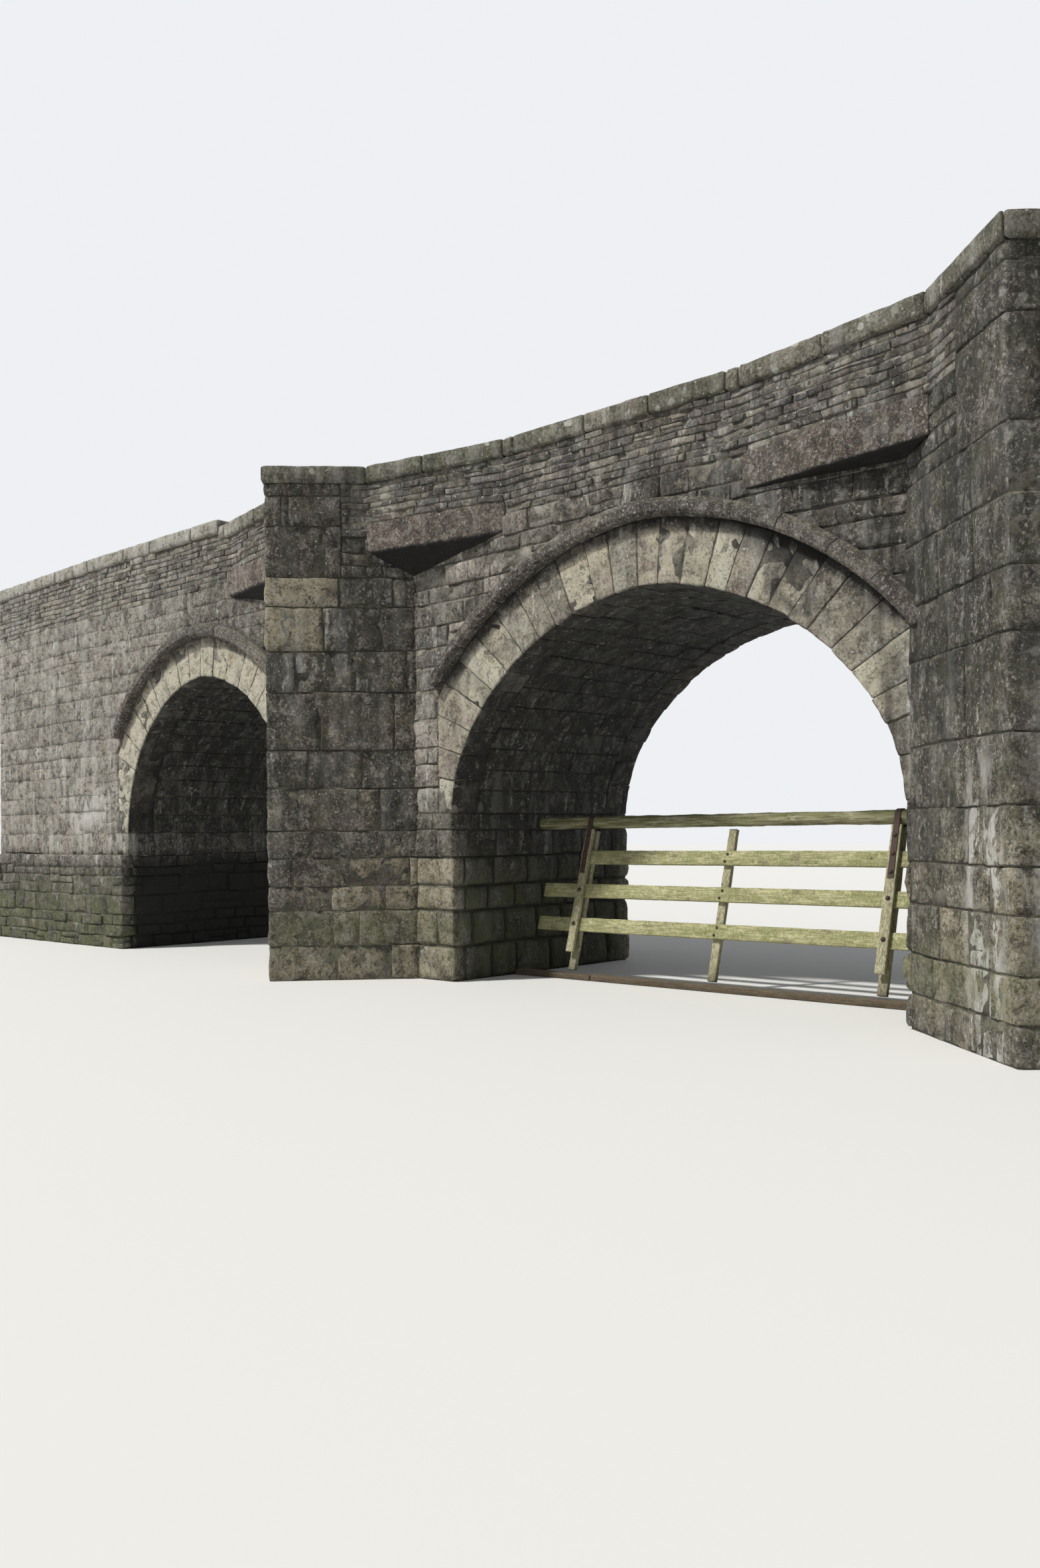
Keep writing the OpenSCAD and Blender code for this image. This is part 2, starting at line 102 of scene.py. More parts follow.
class Cut:
    """A pair of cutwaters. Their corner stones reach depth under the road, rise over it, drop
    back to the re-entrant and run on along the wall. quoin is half the nose stones' width."""

    def __init__(self, node, depth, rise, drop, run, quoin):
        a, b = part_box(node)
        self.x, self.half, self.nose = (a.x + b.x) / 2, (b.x - a.x) / 2, -FACE - a.y
        self.depth, self.rise, self.drop, self.quoin = depth, rise, drop, quoin
        self.flank = math.hypot(self.half, self.nose)
        crease_y = -FACE - CORNER_FLANK * self.nose / self.half
        foot = self.half + run
        steps = [(foot + REFUGE_RETURN, -FACE), (foot, -FACE),
                 (self.half - CORNER_FLANK, crease_y), (0, -FACE - self.nose)]
        self.line = [(self.x - d, y) for d, y in steps] + [(self.x + d, y) for d, y in steps[-2::-1]]

    def along(self, x):
        """Distance from the nose along a flank, for places x."""
        return np.abs(x - self.x) / self.half * self.flank


LEFT_CUT = Cut("left_cutwater_front", 0.19, 0.15, 0.27, 1.46, 0.87)
RIGHT_CUT = Cut("right_cutwater_front", 0.34, 0.02, 0.04, 1.58, 0.80)

# Numbers: packing, seeded value noise that is the same each run, and soft steps


def pack(*parts):
    """Numbers side by side in a last axis, each stretched to the size of the largest."""
    return np.stack(np.broadcast_arrays(*parts), -1)


def unpack(values):
    return np.moveaxis(values, -1, 0)


HASH = np.array([374761393, 668265263, 2246822519], np.uint32)


def lattice(corner, seed):
    h = (corner * HASH).sum(-1, dtype=np.uint32) + np.uint32(seed * 3266489917 % 2**32)
    for shift, factor in ((13, 1274126177), (16, 2654435761)):
        h = (h ^ (h >> np.uint32(shift))) * np.uint32(factor)
    return ((h ^ (h >> np.uint32(15))) & np.uint32(0xFFFF)) / 32767.5 - 1.0


def noise(p, scale, seed=0):
    """Value noise from -1 to 1 at points p, with features about scale metres across."""
    q = p / scale + 512.0
    base = np.floor(q)
    f = q - base
    f = f * f * (3 - 2 * f)
    corner = base.astype(np.int64).astype(np.uint32)
    total = 0.0
    for step in np.ndindex(2, 2, 2):
        weight = np.where(step, f, 1 - f).prod(-1)
        total = total + weight * lattice(corner + np.array(step, np.uint32), seed)
    return total


def fractal(p, scale, octaves=3, seed=0):
    total, size = 0.0, 1.0
    for n in range(octaves):
        total = total + size * noise(p, scale / 2**n, seed + n)
        size *= 0.5
    return total / (2 - 2 * size)


def ease(value, start, stop):
    """From 0 at start to 1 at stop, and level beyond them."""
    return np.clip((value - start) / (stop - start), 0.0, 1.0)


def window(value, start, stop, soft):
    return ease(value, start - soft, start + soft) * ease(value, stop + soft, stop - soft)


# Lines, and the surfaces that stones lie on. A surface's at(u, v) gives places and the
# directions outwards there.


def reach_of(points):
    steps = np.diff(np.array(points, float), axis=0)
    return np.concatenate([[0.0], np.cumsum(np.linalg.norm(steps, axis=1))])


def between(v, reach, points):
    """The places at distances v along the points."""
    return pack(*(np.interp(v, reach, column) for column in points.T))


class Line:
    """A line in a plane, with outwards on the right of its travel. Corners that turn left are
    convex, and are rounded."""

    def __init__(self, points, radius=0.03, smooth=False):
        self.points, self.radius, self.smooth = np.array(points, float), radius, smooth
        self.reach = reach_of(points)
        self.length = self.reach[-1]
        self.along = np.diff(self.points, axis=0) / np.diff(self.reach)[:, None]
        self.out = pack(self.along[:, 1], -self.along[:, 0])
        a, b = self.along[:-1], self.along[1:]
        turn = a[:, 0] * b[:, 1] - a[:, 1] * b[:, 0]
        self.round = [] if smooth else list(np.flatnonzero(turn > 0.2) + 1)
        self.corners = [self.reach[n] for n in self.round]
        self.breaks = [] if smooth else list(self.reach[1:-1][np.abs(turn) > 1e-6])
        mid = self.out[:-1] + self.out[1:]
        mid /= np.linalg.norm(mid, axis=1)[:, None]
        self.nodes = np.concatenate([self.out[:1], mid, self.out[-1:]])

    def at(self, u):
        """Both coordinates of the places at distances u, and of the directions outwards."""
        u = np.asarray(u, float)
        i = np.clip(np.searchsorted(self.reach, u, side="right") - 1, 0, len(self.along) - 1)
        local = (u - self.reach[i])[..., None]
        place, out = self.points[i] + self.along[i] * local, self.out[i]
        if self.smooth:
            t = local / (self.reach[i + 1] - self.reach[i])[..., None]
            out = self.nodes[i] * (1 - t) + self.nodes[i + 1] * t
        for n in self.round:
            w = (u - self.reach[n]) / self.radius
            near = np.abs(w) < 1
            t = ((w[near] + 1) / 2)[..., None]
            tip = self.points[n]
            a, b = tip - self.along[n - 1] * self.radius, tip + self.along[n] * self.radius
            place[near] = (1 - t)**2 * a + 2 * t * (1 - t) * tip + t**2 * b
            out[near] = (1 - t) * self.out[n - 1] + t * self.out[n]
        return unpack(place), unpack(out / np.linalg.norm(out, axis=-1, keepdims=True))


def road_fall(x):
    """How far the road lies under its level stretch at x."""
    right = (x - RIGHT_BEND) / (END - RIGHT_BEND)
    left = (LEFT_BEND - x) / (LEFT_BEND + END)
    return END_FALL * np.clip(np.maximum(left, right), 0, 1)


class Wall:
    """A vertical face on a plan line: u runs along it and v is height. On a parapet v counts
    from the road, and other walls are drawn down a little where the road falls."""

    def __init__(self, points, radius=0.03, parapet=False):
        self.line, self.parapet = Line(points, radius), parapet

    def at(self, u, v):
        (x, y), (nx, ny) = self.line.at(u)
        fall = road_fall(x)
        z = v + ROAD - fall if self.parapet else v - fall * ease(v, SIDE_SPRING, ROAD)
        return pack(x, y, z), pack(nx, ny, 0)


class Vault:
    """The inside of an arch: u runs through the arch and v over it from left to right."""

    def __init__(self, points):
        self.line = Line(points, smooth=True)

    def at(self, u, v):
        (x, z), (nx, nz) = self.line.at(v)
        return pack(x, -u, z), pack(nx, 0, nz)


class Band:
    """A ring or a hood round an arch: u runs round its section, whose points are steps from
    the inner curve towards the outer one and out of the wall, and v runs along the arch."""

    def __init__(self, inner, outer, thick, section, radius, side):
        self.inner, self.outer, self.thick, self.side = inner, outer, thick, side
        self.reach = reach_of(inner)
        self.length = self.reach[-1]
        self.line = Line(section, radius)

    def at(self, u, v):
        (height, out), (up, forth) = self.line.at(u)
        a = between(v, self.reach, self.inner)
        radial = (between(v, self.reach, self.outer) - a) / self.thick
        x, z = unpack(a + radial * height[..., None])
        nx, nz = unpack(radial / np.linalg.norm(radial, axis=-1, keepdims=True))
        return (pack(x, self.side * (FACE + out), z), pack(nx * up, self.side * forth, nz * up))


def mitres(points):
    """For each point of a plan line, the step to the left that keeps a parallel line whole."""
    along = np.diff(np.array(points, float), axis=0)
    along /= np.linalg.norm(along, axis=1)[:, None]
    left = pack(-along[:, 1], along[:, 0])
    first = np.concatenate([left[:1], left])
    n = first + np.concatenate([left, left[-1:]])
    n /= np.linalg.norm(n, axis=1)[:, None]
    return n / (n * first).sum(1)[:, None]


def shifted(points, t):
    return np.array(points, float) + mitres(points) * t


class Coping:
    """A coping's skin: u runs round its section from under the inner edge, v along the wall."""

    def __init__(self, points, base, side):
        self.points, self.step, self.reach = np.array(points, float), mitres(points), reach_of(points)
        self.length, self.base, self.side = self.reach[-1], base, side
        near, far, top = -COPING_OUT, PARAPET_T + COPING_OUT, COPING_T - 0.004
        self.line = Line([(PARAPET_T - 0.05, 0), (far, 0), (far, top), (near, top), (near, 0),
                          (0.05, 0)], 0.035)

    def at(self, u, v):
        (t, h), (nt, nh) = self.line.at(u)
        x, y = unpack(between(v, self.reach, self.points))
        mx, my = unpack(between(v, self.reach, self.step))
        x, y, size = x + mx * t, y + my * t, np.hypot(mx, my)
        return (pack(x, self.side * -y, ROAD - road_fall(x) + self.base + h),
                pack(mx / size * nt, self.side * -my / size * nt, nh))


class Corner:
    """Front and sloping underside of a corner stone: u runs down the front and back under
    to the re-entrant, v from its first end to its second."""

    def __init__(self, cut, turn, side):
        first = 1 if turn < 0 else 4
        self.start, stop = np.array(cut.line[first:first + 2])
        self.corner = np.array([cut.x + turn * cut.half, -FACE])
        self.length = float(np.linalg.norm(stop - self.start))
        self.along = (stop - self.start) / self.length
        self.out = np.array([self.along[1], -self.along[0]])
        self.inward = float(np.dot(self.corner - self.start, -self.out))
        self.foot, self.side = ROAD - cut.depth, side
        self.line = Line([(0, cut.rise + cut.depth), (0, 0), (self.inward, -cut.drop)], 0.03)

    def at(self, u, v):
        (inward, h), (n_in, n_up) = self.line.at(u)
        share = np.clip(inward / self.inward, 0, 1)[..., None]
        x, y = unpack((self.start + self.along * v[..., None]) * (1 - share) + self.corner * share)
        return (pack(x, self.side * -y, self.foot + h),
                pack(-self.out[0] * n_in, self.side * self.out[1] * n_in, n_up))


# Arch curves in elevation, matching those of the frame


def main_curve(share=0.0, extra=0.0, steps=96):
    """A flattened curve, over a share of the ring's thickness and extra beyond it."""
    half = (MAIN_R - MAIN_L) / 2 + share * MAIN_RING_FOOT + extra
    rise = MAIN_RISE + share * MAIN_RING_CROWN + extra
    a = np.pi * (1 - np.arange(steps + 1) / steps)
    c, s = np.cos(a), np.clip(np.sin(a), 0, 1)
    x = half * np.sign(c) * np.abs(c)**(2 / MAIN_POWER)
    return pack((MAIN_L + MAIN_R) / 2 + x, MAIN_SPRING + rise * s**(2 / MAIN_POWER))


def side_curve(middle, off=0.0, steps=40):
    """A pointed curve, off metres outside the arch's own."""
    r = (SIDE_HALF**2 + SIDE_RISE**2) / (2 * SIDE_HALF)
    cx = r - SIDE_HALF
    a = math.acos(cx / (r + off)) * np.arange(steps + 1) / steps
    left = pack(cx - (r + off) * np.cos(a), (r + off) * np.sin(a))
    return np.concatenate([left, left[-2::-1] * [-1, 1]]) + [middle, SIDE_SPRING]


def drawn_in(inner, outer, middle, reach):
    """The outer edge of a ring, drawn in along its joints to where the feet stand upright."""
    a, b = np.abs(inner[:, 0] - middle), np.abs(outer[:, 0] - middle)
    share = np.where(b > reach, (reach - a) / np.maximum(b - a, 1e-6), 1.0)
    return inner + (outer - inner) * share[:, None]


MAIN_IN = main_curve()
MAIN_EDGE = drawn_in(MAIN_IN, main_curve(1.0), 0.0, MAIN_R + MAIN_HEEL)
SIDE_IN = {m: side_curve(m) for m in (LEFT_MID, RIGHT_MID)}
SIDE_EDGE = {m: drawn_in(SIDE_IN[m], side_curve(m, SIDE_RING), m, SIDE_HALF + SIDE_HEEL)
             for m in SIDE_IN}


def flank_of(curve, side):
    """The curve's left or right half as x for a given height."""
    top = int(np.argmax(curve[:, 1]))
    half = curve[:top + 1] if side < 0 else curve[top:][::-1]
    return lambda z: np.interp(z, half[:, 1], half[:, 0])


# Stones and mortar


def worked(joint, arris, cell, rough, **more):
    """How one kind of masonry is worked, in metres. rock is the extra swelling of faces that
    look along the bridge, and fine stones have more mesh lines close to their edges."""
    usual = dict(proud=0.004, bulge=0.004, bed=0.010, skew=0.0, wave=0.005, ragged=0.003,
                 tone=(0.2, 0.6), grain=0.10, rock=0.0, lichen=0.3, fine=True)
    own = dict(joint=joint, arris=arris, cell=cell, rough=rough)
    return SimpleNamespace(**(usual | own | more))


def coarser(style):
    """The same style with a coarser mesh, for faces away from the photo's side."""
    return SimpleNamespace(**(vars(style) | {"cell": style.cell * 1.7, "fine": False}))


ASHLAR = worked(0.012, 0.014, 0.050, 0.018, proud=0.008, bulge=0.006, bed=0.008, skew=0.015,
                wave=0.014, ragged=0.007, tone=(0.05, 0.45))
ROCKY = worked(0.020, 0.040, 0.055, 0.012, proud=0.006, bed=0.022, skew=0.02, wave=0.012,
               ragged=0.006, tone=(0.15, 0.5), rock=0.030)
VAULT = worked(0.012, 0.014, 0.10, 0.014, proud=0.008, bed=0.012, skew=0.010, wave=0.008,
               tone=(0.1, 0.55))
RING = worked(0.008, 0.010, 0.055, 0.014, proud=0.007, bed=0.006, skew=0.012, wave=0.004,
              ragged=0.008, tone=(0.45, 1.0), lichen=0.1)
WORN = worked(0.005, 0.007, 0.070, 0.009, proud=0.003, bulge=0.002, bed=0.002, skew=0.03,
              wave=0.035, ragged=0.012, tone=(0.30, 0.70), grain=0.14)
RUBBLE = worked(0.014, 0.016, 0.070, 0.018, proud=0.014, bulge=0.006, bed=0.014, skew=0.034,
                wave=0.025, ragged=0.009, tone=(0.1, 0.8))
SLATY = worked(0.010, 0.008, 0.085, 0.010, proud=0.013, bulge=0.003, bed=0.016, skew=0.022,
               wave=0.020, ragged=0.006, tone=(0.0, 0.95), grain=0.07)
COPING = worked(0.012, 0.030, 0.075, 0.012, proud=0.0, bulge=0.0, bed=0.020, wave=0.003,
                tone=(0.3, 0.8), grain=0.12, lichen=1.0)
MONOLITH = worked(0.004, 0.014, 0.055, 0.020, proud=0.0, bulge=0.0, wave=0.0, tone=(0.3, 0.7),
                  grain=0.12)
HOOD = worked(0.006, 0.008, 0.065, 0.006, proud=0.001, bulge=0.0, bed=0.012, wave=0.003,
              tone=(0.2, 0.8), grain=0.09)
DEEP = 0.05  # how far the sides of stones go into the wall
LEAST_WIDTH = 0.03  # narrower stretches get no stones
EVEN = (0.5, 0.5, 0.0)  # tone, hue and nothing, where there are no single stones


def plain_weather(p, out):
    return pack(0.3, 0.2, 0.0, 0 * p[..., 0])


class Piece:
    """Collects closed meshes and makes one object of them. Its weathering gives the share of dark
    crust, of lime and of moss at each point, and how much paler the stone is there; below
    nought that paleness is painted shade."""

    def __init__(self, name, slot, replaces, weather=plain_weather, seed=0, body="bridge"):
        self.name, self.slot, self.replaces, self.body = name, slot, replaces, body
        self.weather, self.count, self.rng = weather, 0, np.random.default_rng(seed)
        self.points, self.faces, self.stones, self.worn, self.mats = [], [], [], [], []

    def add(self, points, faces, stone=(*EVEN, 0.0), material=0, out=None):
        """faces is a list of arrays of corner numbers, each array with faces of one size."""
        flat = np.clip(points.reshape(-1, 3), BOX_LOW, BOX_HIGH)
        out = np.zeros_like(flat) if out is None else out.reshape(-1, 3)
        self.points.append(flat)
        self.stones.append(np.broadcast_to(stone, (len(flat), 4)))
        self.worn.append(self.weather(flat, out))
        self.faces += [f + self.count for f in faces]
        self.mats += [np.full(len(f), material) for f in faces]
        self.count += len(flat)

    def make(self, *beds):
        """Makes the object, in its slot's material and those of its beds."""
        mesh = bpy.data.meshes.new(self.name)
        corners = np.concatenate([f.ravel() for f in self.faces])
        sizes = np.concatenate([np.full(len(f), f.shape[1]) for f in self.faces])
        mesh.vertices.add(self.count)
        mesh.loops.add(len(corners))
        mesh.polygons.add(len(sizes))
        for target, name, values, kind in (
                (mesh.vertices, "co", np.concatenate(self.points), np.float32),
                (mesh.loops, "vertex_index", corners, np.int32),
                (mesh.polygons, "loop_start", np.cumsum(sizes) - sizes, np.int32),
                (mesh.polygons, "use_smooth", np.ones(len(sizes)), bool),
                (mesh.polygons, "material_index", np.concatenate(self.mats), np.int32)):
            target.foreach_set(name, values.astype(kind).ravel())
        for name, parts in (("stone", self.stones), ("weather", self.worn)):
            layer = mesh.attributes.new(name, "FLOAT_COLOR", "POINT")
            layer.data.foreach_set("color", np.concatenate(parts).astype(np.float32).ravel())
        for name in (self.slot, *beds):
            mesh.materials.append(MATS[name])
        mesh.update(calc_edges=True)
        mesh.validate()
        obj = linked(self.name, mesh)
        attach(obj, self.body)
        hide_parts(*self.replaces)


def linked(name, data):
    obj = bpy.data.objects.new(name, data)
    bpy.context.scene.collection.objects.link(obj)
    return obj


def rim(ns, nt):
    """Corner numbers round the edge of a grid, in the grid's own turning direction."""
    g = np.arange(ns * nt).reshape(ns, nt)
    return np.concatenate([g[:, 0], g[-1, 1:], g[-2::-1, -1], g[0, -2:0:-1]])


def grid_faces(ns, nt):
    g = np.arange(ns * nt).reshape(ns, nt)
    return np.stack([g[:-1, :-1], g[1:, :-1], g[1:, 1:], g[:-1, 1:]], -1).reshape(-1, 4)


def tube_faces(ns, nt):
    """Faces of a closed tube of ns rings, each of nt points, with its two ends."""
    g = np.arange(ns * nt).reshape(ns, nt)
    h = np.roll(g, -1, axis=1)
    quads = np.stack([g[:-1], h[:-1], h[1:], g[1:]], -1).reshape(-1, 4)
    return [quads, np.stack([g[0][::-1], g[-1]])]


def edge(value, v):
    """Where a stretch ends at heights v: value is a number, or a function of the height."""
    return value(v) if callable(value) else np.full_like(v, value)


def turned(place, out):
    """True where a grid's own turning direction faces inwards."""
    a, b = place.shape[0] // 2, place.shape[1] // 2
    du, dv = place[a, b] - place[a - 1, b], place[a, b] - place[a, b - 1]
    return float(np.dot(np.cross(du, dv), out[a, b])) < 0


def columns_of(width, low_u, line, style):
    """Places across a stone for its mesh columns, closer at its edges and at sharp corners."""
    r = min(style.arris, width * 0.3)
    turns = [c - low_u for c in line.corners if low_u < c < low_u + width]
    stops = [r, *turns, width - r]
    fillet = line.radius if turns else 0
    inner = []
    for n, (x0, x1) in enumerate(zip(stops, stops[1:])):
        x0 += fillet if n > 0 else 0
        x1 -= fillet if n < len(stops) - 2 else 0
        if x1 > x0:
            inner += list(np.linspace(x0, x1, max(1, round((x1 - x0) / style.cell)) + 1))
    edges = [0, 0.25 * r, width - 0.25 * r, width] if style.fine else [0, width]
    return np.array(sorted(set(np.round(edges + inner + turns, 5))))


def stone_grid(surface, style, cell, rng):
    """One stone's mesh places: u, v, and the distances s and t from its left and bottom."""
    left, right, v0, v1 = cell
    j = style.joint / 2
    v0, v1 = v0 + j, v1 - j
    height = max(v1 - v0, 0.01)
    r = min(style.arris, height * 0.3)
    rows = max(1, round((height - 2 * r) / style.cell))
    t = np.array([0, *np.linspace(r, height - r, rows + 1), height])
    if style.fine:
        t = np.insert(t, [1, -1], [0.25 * r, height - 0.25 * r])
    v = v0 + t
    skew = rng.uniform(-style.skew, style.skew, 4)
    lean = t / height - 0.5
    a = edge(left, v) + j + (0 if callable(left) else skew[0] * lean + skew[1] * 0.3)
    b = edge(right, v) - j + (0 if callable(right) else skew[2] * lean + skew[3] * 0.3)
    width = float(np.median(b - a))
    if width < 0.02:
        return None
    b = np.maximum(b, a + 0.012)
    s = columns_of(max(width, float((b - a).max())), float(a.min()), surface.line, style)
    share = s[:, None] / s[-1]
    tip = rng.uniform(-0.3, 0.3, 2) * style.skew
    v = v + (share - 0.5) * (tip[0] * (1 - t / height) + tip[1] * t / height)
    return a + share * (b - a), v, s[:, None], t[None], np.array([[width]]), np.array([[height]])


def wander(surface, style, u, v):
    """Shifts joints a little, alike for both stones beside one."""
    place, _ = surface.at(u, v)
    return (u + 0.7 * style.wave * noise(place, 0.30, 5) + style.ragged * noise(place, 0.08, 9),
            v + style.wave * noise(place, 0.45, 3) + style.ragged * noise(place, 0.09, 7))


def relief(style, place, out, ids, s, t, width, height):
    """How far each point of the stones stands out from the wall."""
    from_edge = np.minimum(np.minimum(s, width - s), np.minimum(t, height - t))
    r = np.minimum(style.arris, 0.3 * np.minimum(width, height))
    share = np.clip(from_edge / np.maximum(r, 1e-4), 0, 1)
    rounding = (1 - np.sqrt(np.clip(1 - (1 - share)**2, 0, 1))) * r * 0.8
    across, up = 2 * s / width - 1, 2 * t / height - 1
    crown = np.clip((1 - across**2) * (1 - up**2), 0, 1)
    lump = fractal(place + ids[:, None, None, 0:3] * 37.0, style.grain, 3, 11)
    one, two, three, four = ids.T[:, :, None, None]
    rock = style.rock * ease(np.abs(out[..., 0]), 0.6, 0.9)
    flat = style.proud * (four * 2 - 1.2 + (two - 0.5) * across + (three - 0.5) * up)
    at_end = 0.014 * (np.abs(out[..., 0]) > 0.9) * (np.abs(place[..., 0]) > END - 0.05)
    swell = (style.bulge + rock * (0.5 + one)) * np.sqrt(crown)
    return flat + swell + lump * (style.rough + 0.5 * rock) - rounding - at_end


def lay_stones(piece, surface, style, cells, tint=None):
    """Adds the stones of the cells (left, right, bottom, top) to the piece. Those with the
    same mesh are made together."""
    groups = {}
    for cell in cells:
        grid = stone_grid(surface, style, cell, piece.rng)
        if grid is not None:
            groups.setdefault(grid[0].shape, []).append(grid)
    for grids in groups.values():
        u, v, *sizes = (np.array(values) for values in zip(*grids))
        put_stones(piece, surface, style, u, v, sizes, tint)


def put_stones(piece, surface, style, u, v, sizes, tint):
    n, ns, nt = u.shape
    place, out = surface.at(*wander(surface, style, u, v))
    ids = piece.rng.uniform(0, 1, (n, 4))
    depth = relief(style, place, out, ids, *sizes)
    depth[:, [0, -1]] = -DEEP
    depth[:, :, [0, -1]] = -DEEP
    tone, hue = style.tone[0] + (style.tone[1] - style.tone[0]) * ids[:, 0], ids[:, 1]
    if tint is not None:
        tone, hue = tint(place[:, ns // 2, nt // 2], tone, hue, ids[:, 3])
    stone = np.repeat(pack(tone, hue, 0.0, style.lichen), ns * nt, axis=0)
    quads, back = grid_faces(ns, nt), rim(ns, nt)[::-1]
    if turned(place[0], out[0]):
        quads, back = quads[:, ::-1], back[::-1]
    offset = (np.arange(n) * ns * nt)[:, None, None]
    faces = [(quads[None] + offset).reshape(-1, 4), back[None] + offset[:, 0]]
    piece.add(place + out * depth[..., None], faces, stone, 0, out)


def closed_sheet(piece, top, bottom, lichen, material=0, out=None):
    """A closed block between two grids of the same shape, with the first one outside."""
    ns, nt = top.shape[:2]
    quads, loop, size = grid_faces(ns, nt), rim(ns, nt), ns * nt
    after = np.roll(loop, -1)
    sides = np.stack([loop, loop + size, after + size, after], -1)
    faces = np.concatenate([quads, quads[:, ::-1] + size, sides])
    if turned(top, top - bottom):
        faces = faces[:, ::-1]
    both = None if out is None else np.concatenate([out, out])
    piece.add(np.concatenate([top, bottom]), [faces], (*EVEN, lichen), material, both)


def slab(piece, surface, style, left, right, v, thick=0.10, material=1):
    """Closed bed of mortar under the stones: a strip of the surface between left and right."""
    a, b = edge(left, v), edge(right, v)
    if (b - a).max() < 0.02:
        return
    marks = [0.0, *[(c - a.min()) / (b.max() - a.min()) for c in surface.line.breaks
                    if a.max() + 0.02 < c < b.min() - 0.02], 1.0]
    share = []
    for m0, m1 in zip(marks, marks[1:]):
        count = max(1, round((m1 - m0) * (b - a).max() / 0.22))
        share += list(np.linspace(m0, m1, count + 1)[:-1])
    u = a + np.array(share + [1.0])[:, None] * (b - a)
    place, out = surface.at(u, np.broadcast_to(v, u.shape))
    sunk = style.bed * (1 + 0.5 * noise(place, 0.13, 41))[..., None]
    closed_sheet(piece, place - out * sunk, place - out * (style.bed * 2 + thick), 0.3, material,
                 out)


def levels(rng, bottom, top, mean, spread=0.25):
    """Course heights that fill a wall from bottom to top."""
    sizes = rng.uniform(1 - spread, 1 + spread, max(1, round((top - bottom) / mean)))
    return bottom + (top - bottom) * np.concatenate([[0], np.cumsum(sizes)]) / sizes.sum()


def break_up(rng, a, b, mean, spread, old, corners, quoin):
    """Joints between a and b that keep clear of those below and of the convex corners."""
    cuts, place = [], a
    while True:
        place += rng.uniform(1 - spread, 1 + spread) * mean
        for c in old:
            if abs(place - c) < 0.2 * mean:
                place = c + 0.25 * mean
        for c in corners:
            if abs(place - c) < quoin:
                place = c + quoin * rng.uniform(1, 1.7)
        if place > b - 0.45 * mean:
            break
        cuts.append(place)
    for c in corners:
        # A joint just before a corner moves back, so that the corner stone has two arms
        cuts = [k if not 0 < c - k < quoin else c - quoin * rng.uniform(1, 1.7) for k in cuts]
    return cuts


def lay_out(rng, rows, spans, length, spread=0.4, corners=(), quoin=0.16, split=0.0, least=0.09,
            known=None):
    """Cells of coursed masonry. spans(v0, v1) gives the (left, right) stretches of a course,
    length its mean stone length for a course height, and known(v0) the joints seen in the
    photo, after the place where they start."""
    cells, old = [], []
    for v0, v1 in zip(rows, rows[1:]):
        joints = []
        for left, right in spans(v0, v1):
            ends = np.array([v0, v1])
            a, b = edge(left, ends).max(), edge(right, ends).min()
            cuts = []
            if b > a:
                cuts = break_up(rng, a, b, length(v1 - v0), spread, old, corners, quoin)
            if known and known(v0):
                start, seen = known(v0)
                cuts = [c for c in cuts if c < start] + [c for c in seen if a < c < b - 0.04]
            marks = [left, *cuts, right]
            for x0, x1 in zip(marks, marks[1:]):
                halves = [v0, v1]
                if v1 - v0 > 2 * least and rng.uniform() < split:
                    halves.insert(1, v0 + (v1 - v0) * rng.uniform(0.35, 0.65))
                cells += [(x0, x1, *pair) for pair in zip(halves, halves[1:])]
            joints += cuts
        old = joints
    return cells


def face_wall(piece, surface, style, rows, length, spans=None, tint=None, bed=1, **more):
    """A whole wall: its stones and the mortar under them. It has no openings without spans."""
    spans = spans or (lambda v0, v1: [(0.0, surface.line.length)])
    cells = lay_out(piece.rng, rows, spans, length, corners=surface.line.corners, **more)
    lay_stones(piece, surface, style, cells, tint)
    for v0, v1 in zip(rows, rows[1:]):
        for left, right in spans(v0, v1):
            slab(piece, surface, style, left, right, np.linspace(v0, v1, 3), material=bed)


def profile_stones(piece, surface, style, joints):
    """Stones that wrap a whole section, one between each two joints."""
    cells = [(0.0, surface.line.length, a, b) for a, b in zip(joints, joints[1:])]
    lay_stones(piece, surface, style, cells)


# Materials

# The second black is the black of painted shade, laid by in_the_dark.
BLACK, SHADE_BLACK, GREY = (28, 25, 24), (16, 15, 14), (186, 183, 174)
LIME, LICHEN, MOSS, GREEN = (204, 203, 198), (198, 198, 188), (72, 84, 38), (124, 126, 88)
MATS = {}


def srgb(colour):
    """The linear form of a colour given in the usual 0 to 255 steps."""
    linear = [c / 255 / 12.92 if c <= 10 else ((c / 255 + 0.055) / 1.055)**2.4 for c in colour]
    return (*linear, 1.0)


def add_node(tree, kind, inputs=(), **settings):
    """A new node. inputs go by name or number, and each is another node's output, a vector, a
    number, a colour of 0 to 255 or a linear one of four numbers. None leaves it as it is."""
    node = tree.nodes.new("ShaderNode" + kind)
    for name, value in settings.items():
        setattr(node, name, value)
    for key, value in dict(inputs).items():
        socket = node.inputs[key]
        if isinstance(value, bpy.types.NodeSocket):
            tree.links.new(value, socket)
        elif value is not None:
            colour = socket.type == "RGBA" and len(value) == 3
            socket.default_value = srgb(value) if colour else value
    return node


